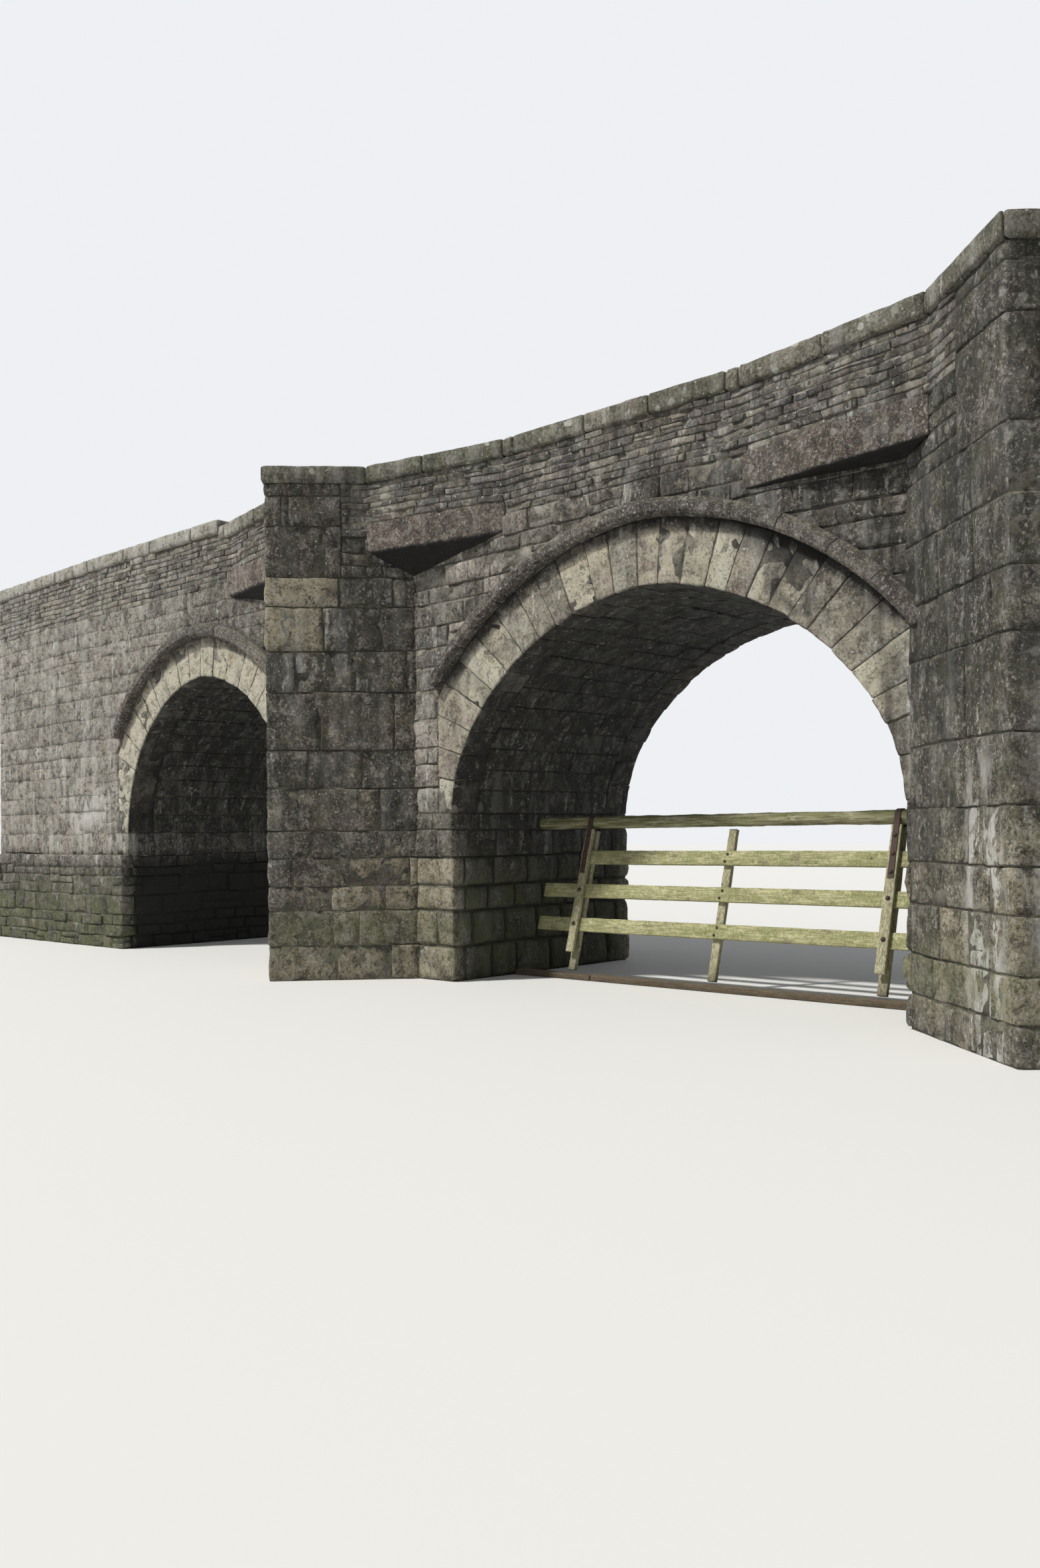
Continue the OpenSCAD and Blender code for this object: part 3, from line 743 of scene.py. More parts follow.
class Nodes:
    """A material in the making. Its colour is laid coat over coat."""

    def __init__(self, name, colour=None):
        MATS[name] = bpy.data.materials.new(name)
        MATS[name].use_nodes = True
        self.tree, self.colour = MATS[name].node_tree, colour
        self.tree.nodes.clear()
        self.place = self.add("TexCoord").outputs["Object"]
        self.normal = None

    def add(self, kind, inputs=(), **settings):
        return add_node(self.tree, kind, inputs, **settings)

    def scaled(self, x, y, z, where=None):
        return self.add("Mapping", {"Vector": where or self.place, "Scale": (x, y, z)}).outputs[0]

    def noise(self, size, detail, rough, where=None, distortion=0.0):
        """Noise with features about size metres across."""
        return self.add("TexNoise", {
            "Vector": where or self.place, "Scale": 1 / size, "Detail": detail,
            "Roughness": rough, "Distortion": distortion}).outputs["Fac"]

    def cells(self, size, where=None):
        inputs = {"Vector": where or self.place, "Scale": 1 / size}
        return self.add("TexVoronoi", inputs).outputs["Distance"]

    def frayed(self, amount, size):
        """The place, pushed about by noise."""
        push = self.add("TexNoise", {"Vector": self.place, "Scale": 1 / size, "Detail": 4.0})
        inputs = {0: push.outputs["Color"], 1: (amount, amount, amount), 2: self.place}
        return self.add("VectorMath", inputs, operation="MULTIPLY_ADD").outputs[0]

    def ramp(self, value, stops):
        """stops is a list of (place, colour or grey)."""
        node = self.add("ValToRGB", {0: value})
        elements = node.color_ramp.elements
        while len(elements) < len(stops):
            elements.new(0.5)
        for element, (at, colour) in zip(elements, stops):
            element.position = at
            element.color = srgb(colour) if isinstance(colour, tuple) else (colour,) * 3 + (1,)
        return node.outputs[0]

    def mix(self, factor, a, b, mode="MIX"):
        inputs = {0: factor, 6: a, 7: b}
        return self.add("Mix", inputs, data_type="RGBA", blend_type=mode).outputs[2]

    def math(self, kind, a, b):
        return self.add("Math", {0: a, 1: b}, operation=kind).outputs[0]

    def mask(self, value, start, stop, *shares):
        """From 0 to 1 between start and stop, times the shares."""
        rising = [(start, 0.0), (stop, 1.0)] if start < stop else [(stop, 1.0), (start, 0.0)]
        result = self.ramp(value, rising)
        for share in shares:
            result = self.math("MULTIPLY", result, share)
        return result

    def lay(self, over, value, start, stop, *shares):
        """Lays a colour over what is there, where the mask is."""
        self.colour = self.mix(self.mask(value, start, stop, *shares), self.colour, over)

    def split(self, name):
        """The four numbers of a mesh attribute."""
        node = self.add("Attribute", attribute_name=name)
        parts = self.add("SeparateColor", {0: node.outputs["Color"]}).outputs
        return *parts, node.outputs["Alpha"]

    def height(self, vector):
        return self.add("SeparateXYZ", {0: vector}).outputs[2]

    def facing_up(self):
        return self.height(self.add("NewGeometry").outputs["Normal"])

    def in_the_dark(self, pale):
        """Painted shade: darker on soffits and other faces with little light, where pale is below
        nought.
        """
        self.lay(SHADE_BLACK, self.math("MULTIPLY", pale, -0.5), 0.2, 0.8, 0.95)

    def finish(self, rough, *bumps):
        """bumps are (height, depth in metres)."""
        for height, depth in bumps:
            inputs = {"Strength": 1.0, "Distance": depth, "Height": height, "Normal": self.normal}
            self.normal = self.add("Bump", inputs).outputs[0]
        inputs = {"Base Color": self.colour, "Roughness": rough, "Normal": self.normal}
        self.add("OutputMaterial", {0: self.add("BsdfPrincipled", inputs).outputs[0]})


def granite(name, palette, mottle=0.8, grain=0.75, coarse=0.028):
    """Weathered stone. palette runs from the darkest stones to the palest."""
    n = Nodes(name)
    tone, hue, _, lichen = n.split("stone")
    crust, lime, moss, pale = n.split("weather")
    patch = n.math("MULTIPLY", n.math("SUBTRACT", n.noise(0.30, 6, 0.62), 0.5), 1.5)
    # Paleness below nought is painted shade; it picks darker colours of the palette.
    value = n.math("ADD", n.math("ADD", tone, patch), n.math("MULTIPLY", pale, 0.6))
    n.colour = n.ramp(value, list(zip(np.linspace(0, 1, len(palette)), palette)))
    cast = n.mix(1.0, n.colour, n.mix(hue, (146, 120, 112), (118, 124, 114)), "OVERLAY")
    n.colour = n.mix(0.35, n.colour, cast)
    # Mottling, then pits and pale feldspar, then grains
    blotch = n.noise(0.13, 7, 0.78, distortion=0.6)
    n.lay(BLACK, blotch, 0.485, 0.42, mottle)
    n.lay(n.mix(0.6, n.colour, GREY), blotch, 0.52, 0.60, mottle)
    pits = n.noise(0.030, 5, 0.75)
    n.lay(BLACK, pits, 0.46, 0.39, grain)
    n.lay(GREY, pits, 0.55, 0.63, grain)
    specks = n.noise(0.013, 3, 0.7)
    n.lay(GREY, specks, 0.58, 0.68, grain)
    n.lay(BLACK, specks, 0.43, 0.33, grain)
    # Dark crust and dark runs, heavier where water comes down; the crust share also holds painted
    # shade on soffits, undersides and under the hoods
    upright = n.scaled(1.0, 1.0, 0.13, n.frayed(0.06, 0.12))
    n.lay(BLACK, n.noise(0.50, 7, 0.70, distortion=0.4), 0.44, 0.60, crust, 0.85)
    n.lay(BLACK, n.noise(0.24, 5, 0.65, upright), 0.51, 0.64, crust, 0.8)
    # Pale runs and streaks of lime
    fray = n.noise(0.06, 5, 0.7)
    wash = n.noise(0.20, 6, 0.66, n.scaled(1.07, 1.07, 0.11, n.frayed(0.05, 0.1)))
    n.lay(n.mix(0.6, n.colour, LIME), wash, 0.50, 0.64, lime, 0.6)
    n.lay(LIME, n.noise(0.11, 4, 0.6, upright), 0.60, 0.66, lime, n.mask(fray, 0.42, 0.56))
    splash = n.noise(0.30, 8, 0.72, n.scaled(1.0, 1.0, 0.5), 0.3)
    n.lay(LIME, splash, 0.51, 0.55, n.math("SUBTRACT", lime, 0.9))
    # Lichen spots and small white specks
    frayed = n.frayed(0.07, 0.05)
    some = n.mask(n.noise(0.8, 3, 0.5), 0.46, 0.58)
    n.lay(LICHEN, n.cells(0.17, frayed), 0.24, 0.17, some, lichen, 0.85)
    n.lay(LICHEN, n.cells(0.055, frayed), 0.24, 0.15, n.mask(fray, 0.48, 0.58), 0.75)
    # Moss and algae
    damp = n.math("MAXIMUM", moss, n.mask(n.facing_up(), 0.5, 0.8, 0.35))
    n.lay(n.mix(fray, MOSS, GREEN), n.noise(0.24, 6, 0.68), 0.36, 0.58, damp, 0.8)
    # Painted shade on soffits and other faces with little light.
    n.in_the_dark(pale)
    n.finish(0.92, (blotch, coarse), (pits, coarse * 0.6), (specks, coarse * 0.2))


def mortar(name, pale, dark):
    n = Nodes(name, dark)
    n.lay(pale, n.noise(0.35, 6, 0.65), 0.38, 0.62)
    grit = n.noise(0.010, 3, 0.7)
    n.lay(GREY, grit, 0.5, 0.7, 0.5)
    n.lay(BLACK, n.noise(0.07, 4, 0.65), 0.50, 0.34, 0.8)
    crust, _, moss, worn = n.split("weather")
    # The crust share here is partly painted shade on soffits and undersides.
    n.lay(BLACK, n.noise(0.3, 6, 0.7), 0.44, 0.56, crust, 0.8)
    n.lay(MOSS, n.noise(0.2, 5, 0.7), 0.40, 0.56, moss, 0.7)
    # Painted shade where the paleness is below nought.
    n.in_the_dark(n.math("MULTIPLY", worn, 1.3))
    n.finish(0.95, (n.noise(0.025, 4, 0.7), 0.008), (grit, 0.002))


def gravel(name):
    n = Nodes(name)
    grit = n.noise(0.03, 4, 0.7)
    n.colour = n.ramp(grit, [(0.3, (92, 85, 75)), (0.5, (128, 121, 107)), (0.7, (158, 151, 137))])
    n.lay((90, 94, 60), n.noise(0.8, 5, 0.6), 0.45, 0.65, 0.5)
    n.finish(0.92, (n.cells(0.03), 0.010), (n.noise(0.08, 4, 0.6), 0.012))


def board(name, base, pale, green_share, upright=False):
    """Rough sawn softwood with algae: grain runs along the board."""
    n = Nodes(name, base)
    along, wide = (n.scaled(1, 1, s) if upright else n.scaled(s, 1, 1) for s in (0.06, 0.5))
    fibre = n.noise(0.012, 6, 0.7, along)
    saw = n.noise(0.012, 5, 0.75, n.scaled(1, 1, 0.4, n.frayed(0.02, 0.05)))
    n.lay(pale, fibre, 0.40, 0.60)
    green = n.mix(n.noise(0.03, 5, 0.7), (88, 96, 46), (146, 146, 96))
    n.lay(green, n.noise(0.15, 7, 0.72, wide), 0.44, 0.56, green_share)
    n.lay(pale, n.noise(0.07, 6, 0.75, wide), 0.54, 0.62, 0.7)
    n.lay((84, 80, 50), saw, 0.47, 0.38, 0.6)
    n.lay((206, 202, 172), saw, 0.55, 0.64, 0.5)
    n.lay((82, 78, 54), n.noise(0.30, 7, 0.75, wide), 0.46, 0.38, 0.6)
    n.lay((66, 56, 38), n.cells(0.3), 0.06, 0.03, 0.7)
    n.lay((56, 50, 38), n.height(n.place), 0.32, 0.05, 0.7)  # wet near the water
    n.finish(0.85, (fibre, 0.006), (saw, 0.003))


def bark(name):
    n = Nodes(name)
    fibre = n.noise(0.022, 7, 0.75, n.scaled(0.05, 1, 1))
    n.colour = n.ramp(fibre, [(0.36, (56, 52, 36)), (0.46, (112, 110, 76)), (0.62, (182, 179, 146))])
    up = n.ramp(n.facing_up(), [(0.2, 0.15), (0.9, 1.0)])
    moss = n.mix(n.noise(0.03, 4, 0.7), (96, 104, 46), (150, 152, 96))
    n.lay(moss, n.noise(0.16, 6, 0.7), 0.44, 0.54, up, 0.75)
    n.lay((184, 180, 158), n.noise(0.12, 6, 0.7, n.scaled(0.4, 1, 1)), 0.56, 0.62, 0.7)
    n.finish(0.88, (fibre, 0.022), (n.noise(0.1, 4, 0.6, n.scaled(0.2, 1, 1)), 0.02))


def rust(name):
    n = Nodes(name)
    flake = n.noise(0.03, 6, 0.7)
    n.colour = n.ramp(flake, [(0.3, (38, 29, 26)), (0.5, (60, 43, 37)), (0.7, (94, 66, 52))])
    rough = n.ramp(flake, [(0.3, 0.6), (0.7, 0.9)])
    n.finish(rough, (flake, 0.002), (n.noise(0.006, 3, 0.6), 0.001))


granite("pier_granite", [(56, 49, 47), (80, 71, 66), (104, 95, 86), (140, 130, 112),
                         (170, 160, 134), (192, 183, 156)])
granite("wall_rubble", [(62, 57, 55), (92, 86, 81), (124, 117, 110), (152, 146, 137),
                        (176, 170, 160), (192, 187, 178)])
granite("voussoir_granite", [(60, 55, 51), (98, 91, 83), (146, 139, 127), (178, 172, 156),
                             (202, 197, 179), (214, 210, 196)], 0.55, 0.6, 0.022)
# The barrels' palette is made darker as painted shade inside the arches.
granite("barrel_granite", [(40, 38, 35), (58, 55, 50), (78, 74, 66), (100, 96, 85)], 0.5, 0.25)
granite("hood_granite", [(58, 53, 50), (84, 79, 73), (112, 106, 97), (138, 132, 120)], 0.5)
granite("parapet_stone", [(58, 56, 60), (82, 76, 76), (104, 93, 88), (110, 111, 114),
                          (134, 127, 118), (154, 149, 140)], 0.6, 0.3, 0.012)
granite("corner_granite", [(74, 61, 57), (104, 88, 82), (138, 124, 116)], 0.7, 0.7, 0.026)
granite("coping_granite", [(86, 83, 74), (120, 117, 104), (148, 145, 130), (182, 179, 166)], 0.6)
mortar("pale_mortar", (150, 147, 136), (98, 94, 86))
mortar("mortar", (142, 137, 126), (88, 83, 76))
mortar("dark_mortar", (112, 107, 96), (58, 53, 49))
gravel("road_gravel")
board("rail_wood", (128, 126, 84), (190, 187, 146), 0.65)
board("post_wood", (124, 118, 90), (186, 181, 154), 0.40, True)
board("sill_wood", (96, 76, 58), (150, 128, 104), 0.05)
bark("log_wood")
rust("strap_iron")

# Weathering of each kind of masonry: dark crust, lime, moss, and paleness, whose negative part is
# painted shade


def wall_weather(p, out):
    x, y, z = unpack(p)
    off, foot = np.abs(x), ease(z, 1.45, 1.15)
    west = ease(off, 6.5, 9.5) * ease(z, 1.2, 1.5)
    hot = window(off, 10.0, 11.6, 0.4) * window(z, 1.7, 2.5, 0.4)
    crown = (1 - ease(off, 3.3, 6.0)) * ease(x, -1.0, 2.0)
    jamb = (np.abs(y) < FACE - 0.1) & (off < 12)
    # In the paleness, the jamb term is painted shade inside the arches and the foot term darkens near
    # the ground, partly as painted shade.
    return pack(0.60 - 0.45 * west + 0.35 * crown + 0.2 * foot,
                0.7 + 0.3 * west + 0.6 * hot - 0.5 * foot,
                0.8 * ease(z, 1.4, 0.5) + 0.10,
                0.35 * west - 0.50 * foot - 0.45 * crown - 1.1 * jamb)


def pier_weather(cut):
    def weather(p, out):
        x, y, z = unpack(p)
        u, inside = cut.along(x), ease(np.abs(y), FACE, FACE - 0.3)
        # Inside the arches the lower paleness is painted shade, and the extra crust partly so; lime
        # and moss grow there too.
        crust = 0.25 + 0.50 * ease(z, 1.1, 1.8) + 0.4 * inside
        lime = 0.35 + 0.4 * inside
        low_green = 0.4 * window(z, 0.30, 0.75, 0.15) * (1 - inside)
        moss = 0.20 + low_green + 0.8 * ease(z, 1.5, 1.1) * inside
        pale = -1.05 * inside
        if cut is LEFT_CUT:
            block = window(z, 3.76, 4.60, 0.04) * ease(u, 0.75, 0.60)
            crust, pale = crust * (1 - 0.95 * block), pale + 0.95 * block
            lime = lime + 0.6 * window(z, 3.1, 4.3, 0.3) * ease(u, 0.9, 0.5)
        else:
            near, lower = ease(u, 0.75, 0.25), ease(z, 2.8, 1.2)
            runs = window(u, 0.15, 0.75, 0.12) * ease(z, 2.6, 1.6)
            crust = crust * (1 - 0.6 * near * lower) * (1 - 0.5 * runs) + 0.3 * (1 - near)
            # The right pier is darker overall (the -0.62), partly darker stone and partly painted
            # tree shade.
            lime, pale = lime + 1.6 * runs, pale + 0.30 * near + 0.95 * lower - 0.62
        return pack(crust, lime, moss, pale)

    return weather


def ring_weather(edge_line, hood_foot):
    """Painted shadow under the hood, which follows the ring's outer edge down to its foot; painted
    shade on the soffits and painted sunlight on the side rings.
    """
    def weather(p, out):
        x, _, z = unpack(p)
        # Soffits get painted shade: more crust and a lower paleness.
        soffit = 1 - ease(np.abs(out[..., 1]), 0.35, 0.75)
        haunch = window(x, 0.9, 2.8, 0.3) + 0.6 * ease(z, 2.9, 2.2)
        stain = haunch * ease(noise(p * [1, 0, 1], 0.55, 61), 0.0, 0.5)
        # Painted shadow of the hood: a dark band within about 0.1 m of the ring's outer edge, above
        # the hood's foot.
        gap = np.hypot(x[:, None] - edge_line[:, 0], z[:, None] - edge_line[:, 1]).min(1)
        frayed = gap + 0.03 * noise(p, 0.2, 62)
        hood_shadow = ease(frayed, 0.13, 0.07) * ease(z, hood_foot, hood_foot + 0.2)
        # Painted sunlight: the side arches' rings, beyond 4 m from the middle, are paler on their
        # faces.
        sunlit_side_rings = 0.75 * (np.abs(x) > 4) * (1 - soffit)
        return pack(0.2 + 0.7 * soffit + 0.6 * stain + 0.6 * hood_shadow, 0.6, 0.1,
                    sunlit_side_rings - 1.1 * soffit - 0.5 * stain - 1.1 * hood_shadow)

    return weather


def barrel_weather(p, out):
    # Painted shade: the paleness is -1 through the barrel, 0.3 less dark near its feet.
    return pack(0.5, 0.5, 0.1, 0.3 * ease(p[..., 2], 3.2, 2.2) - 1.0)


def top_weather(p, out):
    west = ease(-p[..., 0], 6.2, 7.6)
    return pack(0.5 - 0.5 * west, 0.6 + 0.6 * west, 0.25 - 0.25 * west, 1.2 * west)


def parapet_weather(p, out):
    west = ease(np.abs(p[..., 0]), 7.0, 9.5)
    return pack(0.5 - 0.35 * west, 0.4 + 0.4 * west, 0.15, 0.5 * west)


def corner_weather(p, out):
    # Undersides get painted shade: more crust and a much lower paleness.
    under = ease(-out[..., 2], 0.2, 0.5)
    return pack(0.3 + 0.5 * under, 0.3 * (1 - under), 0.1 * (1 - under), 0.25 - 1.9 * under)


# Bays and abutments: front, end and back in one. sign is -1 on the left


def arch_spans(top, length, first, last, middle=()):
    """Stretches of a wall with arch rings up to top: first and last are the widths left over
    at its ends for a given height, and middle is the stretch between two rings."""
    def spans(v0, v1):
        if v0 >= top - 1e-6:
            return [(0.0, length)]
        before = [(0.0, first)] if first(v1) > LEAST_WIDTH else []
        after = [(lambda v: length - last(v), length)] if last(v1) > LEAST_WIDTH else []
        return [*before, *middle, *after]

    return spans


def make_bay(name, sign, cut, middle, seed):
    piece = Piece(f"{name}_bay_stones", "wall_rubble", [f"{name}_spandrels"], wall_weather, seed)
    at_cut, end = cut.x + sign * (cut.half - CREASE), sign * END
    front, back = sign * FACE, -sign * FACE
    surface = Wall([(at_cut, back), (end, back), (end, front), (at_cut, front)])
    curve, length = SIDE_EDGE[middle], surface.line.length
    near, far = (lambda v, flank=flank_of(curve, turn): np.maximum((flank(v) - at_cut) * sign, 0.0)
                 for turn in (-sign, sign))
    top = curve[:, 1].max()
    spans = arch_spans(top, length, near, near, [(far, lambda v: length - far(v))])
    rows = [*levels(piece.rng, SIDE_SPRING, top, 0.30), *levels(piece.rng, top, ROAD, 0.21)[1:]]
    face_wall(piece, surface, WORN, rows, lambda h: 0.16 + 1.2 * h, spans, split=0.3, bed=0)
    piece.make("mortar")


def make_abutment(name, sign, jamb, seed):
    piece = Piece(f"{name}_abutment_stones", "wall_rubble", [f"{name}_abutment"], wall_weather, seed)
    end = sign * END
    plinth, upper = (Wall([(end, 0), (end, y), (jamb, y), (jamb, -y), (end, -y), (end, 0)])
                     for y in (sign * PLINTH, sign * FACE))
    face_wall(piece, plinth, RUBBLE, levels(piece.rng, 0.0, PLINTH_TOP, 0.20, 0.45),
              lambda h: 0.2 + 1.1 * h, split=0.3)
    face_wall(piece, upper, WORN, [PLINTH_TOP, SIDE_SPRING], lambda h: 0.45, bed=0)
    for y in (-1, 1):
        # The top of the plinth: a strip of worn stone
        along = np.linspace(*sorted((jamb, end - sign * 0.01)), 60)[:, None]
        top = pack(along, np.linspace(FACE - 0.08, PLINTH - 0.006, 5) * y, PLINTH_TOP)
        top[..., 2] -= 0.006 + 0.012 * (1 + noise(top, 0.12, 21))
        top[:, -1, 2] -= 0.012
        closed_sheet(piece, top, top * [1, 1, 0] + [0, 0, PLINTH_TOP - 0.2], 0.3)
    piece.make("mortar")


# Main spandrels, front and back

LEFT_COURSES = (0, 0.39, 0.79, 1.07, 1.40, 1.70, 2.19, 2.63, 3.29, 3.76, 4.26, 4.60)
RIGHT_COURSES = (0, 0.30, 0.63, 1.04, 1.38, 1.81, 2.31, 3.00, 3.45, 3.95, 4.45)
NOSE_COURSES = (5.19, 5.54)  # above those, at the noses only
ROCKY_TOP = 1.45  # the courses of the jambs are rocky up to here


def spandrel_rows(rng, top):
    """The left pier's courses run on into the wall beside the arch, then smaller ones."""
    low_rows = [MAIN_SPRING, *[z for z in LEFT_COURSES if MAIN_SPRING + 0.1 < z < 4.4]]
    rows = low_rows[:1]
    for a, b in zip(low_rows, low_rows[1:]):
        rows += [a + (b - a) * rng.uniform(0.4, 0.6), b] if b - a > 0.4 else [b]
    return [*rows, *levels(rng, rows[-1], top, 0.2)[1:], *levels(rng, top, ROAD, 0.17)[1:]]


def make_main_spandrels(seed):
    piece = Piece("main_spandrel_stones", "wall_rubble", ["main_spandrels"], wall_weather, seed)
    left_x = LEFT_CUT.x + LEFT_CUT.half - CREASE
    right_x = RIGHT_CUT.x - RIGHT_CUT.half + CREASE
    on_left, on_right = flank_of(MAIN_EDGE, -1), flank_of(MAIN_EDGE, 1)
    top, length = MAIN_EDGE[:, 1].max(), right_x - left_x
    widths = (lambda v: np.maximum(on_left(v) - left_x, 0.0),
              lambda v: np.maximum(right_x - on_right(v), 0.0))
    for side in (-1, 1):
        surface = Wall([(x, side * FACE) for x in (left_x, right_x)[::-side]])
        face_wall(piece, surface, RUBBLE, spandrel_rows(piece.rng, top), lambda h: 0.14 + 1.2 * h,
                  arch_spans(top, length, *widths[::-side]), spandrel_painted_light, split=0.15)
    piece.make("mortar")


def spandrel_painted_light(centre, tone, hue, draw):
    # Painted sunlight: stones left of x = -1 get 1.7 times their tone, the rest 0.7 times.
    return tone * np.where(centre[:, 0] < -1, 1.7, 0.7), hue


# Piers and cutwaters

# Joints on the left cutwater's flank in the photo, from the nose, by the course's bottom
LEFT_JOINTS = {
    0: (0.77, 1.39), 0.39: (0.74, 1.03), 0.79: (0.72, 1.33), 1.07: (0.29, 0.93, 1.61),
    1.40: (0.50, 1.33), 1.70: (0.36, 1.28), 2.19: (0.47, 1.08), 2.63: (0.61, 1.45),
    3.29: (0.33, 1.02, 1.60), 3.76: (0.66, 1.32), 4.26: (0.84, 1.45), 4.60: (0.68,),
    5.19: (0.19, 0.27), 5.54: (0.45,)
}


def left_pier_tint(centre, tone, hue, draw):
    """Buff and cream stones low on the flank, and one pale block high at the nose."""
    x, y, z = unpack(centre)
    u, right = LEFT_CUT.along(x), (x > LEFT_CUT.x) & (y < 0)
    for bottom, top, where, new_tone, new_hue in (
            (4.30, 4.58, (u < 0.7) & right, 0.98, 0.7), (3.80, 4.20, (u < 0.5) & right, 0.70, 1.0),
            (1.10, 1.38, u > 0.93, 0.88, 0.2), (0.82, 1.05, u > 0.72, 0.92, 0.4),
            (0.42, 0.77, True, 0.62, 0.8), (0.0, 0.37, True, 0.85, 0.6)):
        here = (bottom < z) & (z < top) & where
        tone = np.where(here, new_tone + 0.12 * (draw - 0.5), tone)
        hue = np.where(here, new_hue, hue)
    return tone, hue


def right_pier_tint(centre, tone, hue, draw):
    return tone + 0.05, 0.4 + 0.6 * hue


def dark_tint(centre, tone, hue, draw):
    return 0.5 * tone, hue


def make_cutwater(name, cut, courses, part, side, tint, seed):
    piece = Piece(f"{name}_cutwater_{part}_stones", "pier_granite", [f"{name}_cutwater_{part}"],
                  pier_weather(cut), seed)
    more = CREASE / cut.flank
    foot, half = FACE - cut.nose * more, cut.half * (1 + more)
    surface = Wall([(cut.x + side * half, side * foot), (cut.x, side * (FACE + cut.nose)),
                    (cut.x - side * half, side * foot)])
    full, nose, quoin = surface.line.length, surface.line.length / 2, cut.quoin
    style = ASHLAR if side < 0 else coarser(ASHLAR)

    def known(v0):
        if side < 0 and cut is LEFT_CUT:
            return nose - 0.15, [nose + u for u in LEFT_JOINTS[round(float(v0), 2)]]

    # The courses, then tall stones at the nose above them, and small ones beside those
    top = courses[-1]
    for rows, length, spans in (
            (courses, lambda h: 0.30 + 0.75 * h, None),
            ((top, *NOSE_COURSES, ROAD + REFUGE_H), lambda h: 0.8,
             lambda v0, v1: [(nose - quoin, nose + quoin)])):
        face_wall(piece, surface, style, rows, length, spans, tint, spread=0.35, quoin=0.22,
                  known=known)
    face_wall(piece, surface, RUBBLE, levels(piece.rng, top, ROAD, 0.16), lambda h: 0.26,
              lambda v0, v1: [(0.0, nose - quoin), (nose + quoin, full)], dark_tint)
    piece.make("dark_mortar")


def make_pier(name, cut, courses, side_in, main_in, tint, seed):
    make_cutwater(name, cut, courses, "front", -1, tint, seed)
    make_cutwater(name, cut, courses, "back", 1, tint, seed + 1)
    piece = Piece(f"{name}_pier_stones", "pier_granite", [f"{name}_pier"], pier_weather(cut),
                  seed + 2)
    for x, spring in ((main_in, MAIN_SPRING), (side_in, SIDE_SPRING)):
        turn = math.copysign(1, x - cut.x)
        wall_x, y = cut.x + turn * (cut.half - CREASE), turn * FACE
        surface = Wall([(wall_x, -y), (x, -y), (x, y), (wall_x, y)], 0.02)
        low_rows = [z for z in courses if z < ROCKY_TOP]
        high_rows = [z for z in courses if ROCKY_TOP < z < spring - 0.12]
        for style, rows in ((ROCKY, low_rows), (ASHLAR, [low_rows[-1], *high_rows, spring])):
            face_wall(piece, surface, style, rows, lambda h: 0.2 + 0.75 * h, tint=tint,
                      spread=0.35, quoin=0.18)
    piece.make("dark_mortar")


# Barrels, arch rings, hood moulds and corner stones


def make_barrel(name, curve, seed):
    piece = Piece(f"{name}_barrel_stones", "barrel_granite", [f"{name}_barrel"], barrel_weather,
                  seed)
    surface, inside = Vault(curve), FACE - RING_DEPTH
    bands = levels(piece.rng, 0.0, surface.line.length, 0.27, 0.15)
    face_wall(piece, surface, VAULT, bands, lambda h: 0.55, lambda v0, v1: [(-inside, inside)],
              spread=0.35)
    piece.make("dark_mortar")


def make_ring(name, inner, outer, feet, count, seed):
    """Voussoirs on both faces; feet are the heights of the level joints under them."""
    piece = Piece(f"{name}_ring_stones", "voussoir_granite", [f"{name}_voussoirs"],
                  ring_weather(outer, inner[0, 1] + HOOD_FOOT), seed)
    thick = float(np.linalg.norm(outer - inner, axis=1).mean())
    half = inner[:int(np.argmax(inner[:, 1])) + 1]
    for side in (-1, 1):
        surface = Band(inner, outer, thick, [(thick, 0), (0, 0), (0, -RING_DEPTH)], 0.02, side)
        total = surface.length
        feet_at = [float(np.interp(z, half[:, 1], surface.reach[:len(half)])) for z in feet]
        a, b = feet_at[-1], total - feet_at[-1]
        joints = [0.0, *feet_at[:-1], *levels(piece.rng, a, b, (b - a) / count, 0.18),
                  *[total - j for j in feet_at[-2::-1]], total]
        profile_stones(piece, surface, RING, joints)
        for a, b in zip(joints, joints[1:]):
            slab(piece, surface, RING, 0.0, surface.line.length, np.linspace(a, b, 4))
    piece.make("mortar")


def make_hood(name, inner, outer, foot, left, right, seed):
    """A hood mould from its feet up, as far as the cutwaters at left and right and into them."""
    piece = Piece(f"{name}_hood_stones", "hood_granite", [f"{name}_hood_mould"], seed=seed)
    into = HOOD_OUT + 0.01
    section = [(HOOD_T, 0), (HOOD_T, HOOD_OUT - HOOD_WEATHER), (HOOD_T - HOOD_WEATHER, HOOD_OUT),
               (HOOD_CHAMFER, HOOD_OUT), (0, HOOD_OUT - HOOD_CHAMFER), (0, 0)]
    for side in (-1, 1):
        surface = Band(inner, outer, HOOD_T, section, 0.006, side)
        v = np.linspace(0, surface.length, 400)
        x, z = unpack(between(v, surface.reach, inner))
        keep = v[(z > foot) & (x > left - into) & (x < right + into)]
        joints = levels(piece.rng, keep.min(), keep.max(), 0.62, 0.2)
        profile_stones(piece, surface, HOOD, joints)
        slab(piece, surface, HOOD, 0.005, surface.line.length - 0.005,
             np.linspace(joints[0] + 0.01, joints[-1] - 0.01, 60), 0.01)
    piece.make("dark_mortar")


def make_corner_stones(name, cut, seed):
    piece = Piece(f"{name}_corner_blocks", "corner_granite", [f"{name}_corner_stones"],
                  corner_weather, seed)
    for side in (-1, 1):
        for turn in (-1, 1):
            surface = Corner(cut, turn, side)
            profile_stones(piece, surface, MONOLITH, [0.0, surface.length])
    piece.make()


# Parapets and copings

PARAPET_LINE = [(-END, -FACE), *LEFT_CUT.line, *RIGHT_CUT.line, (END, -FACE)]


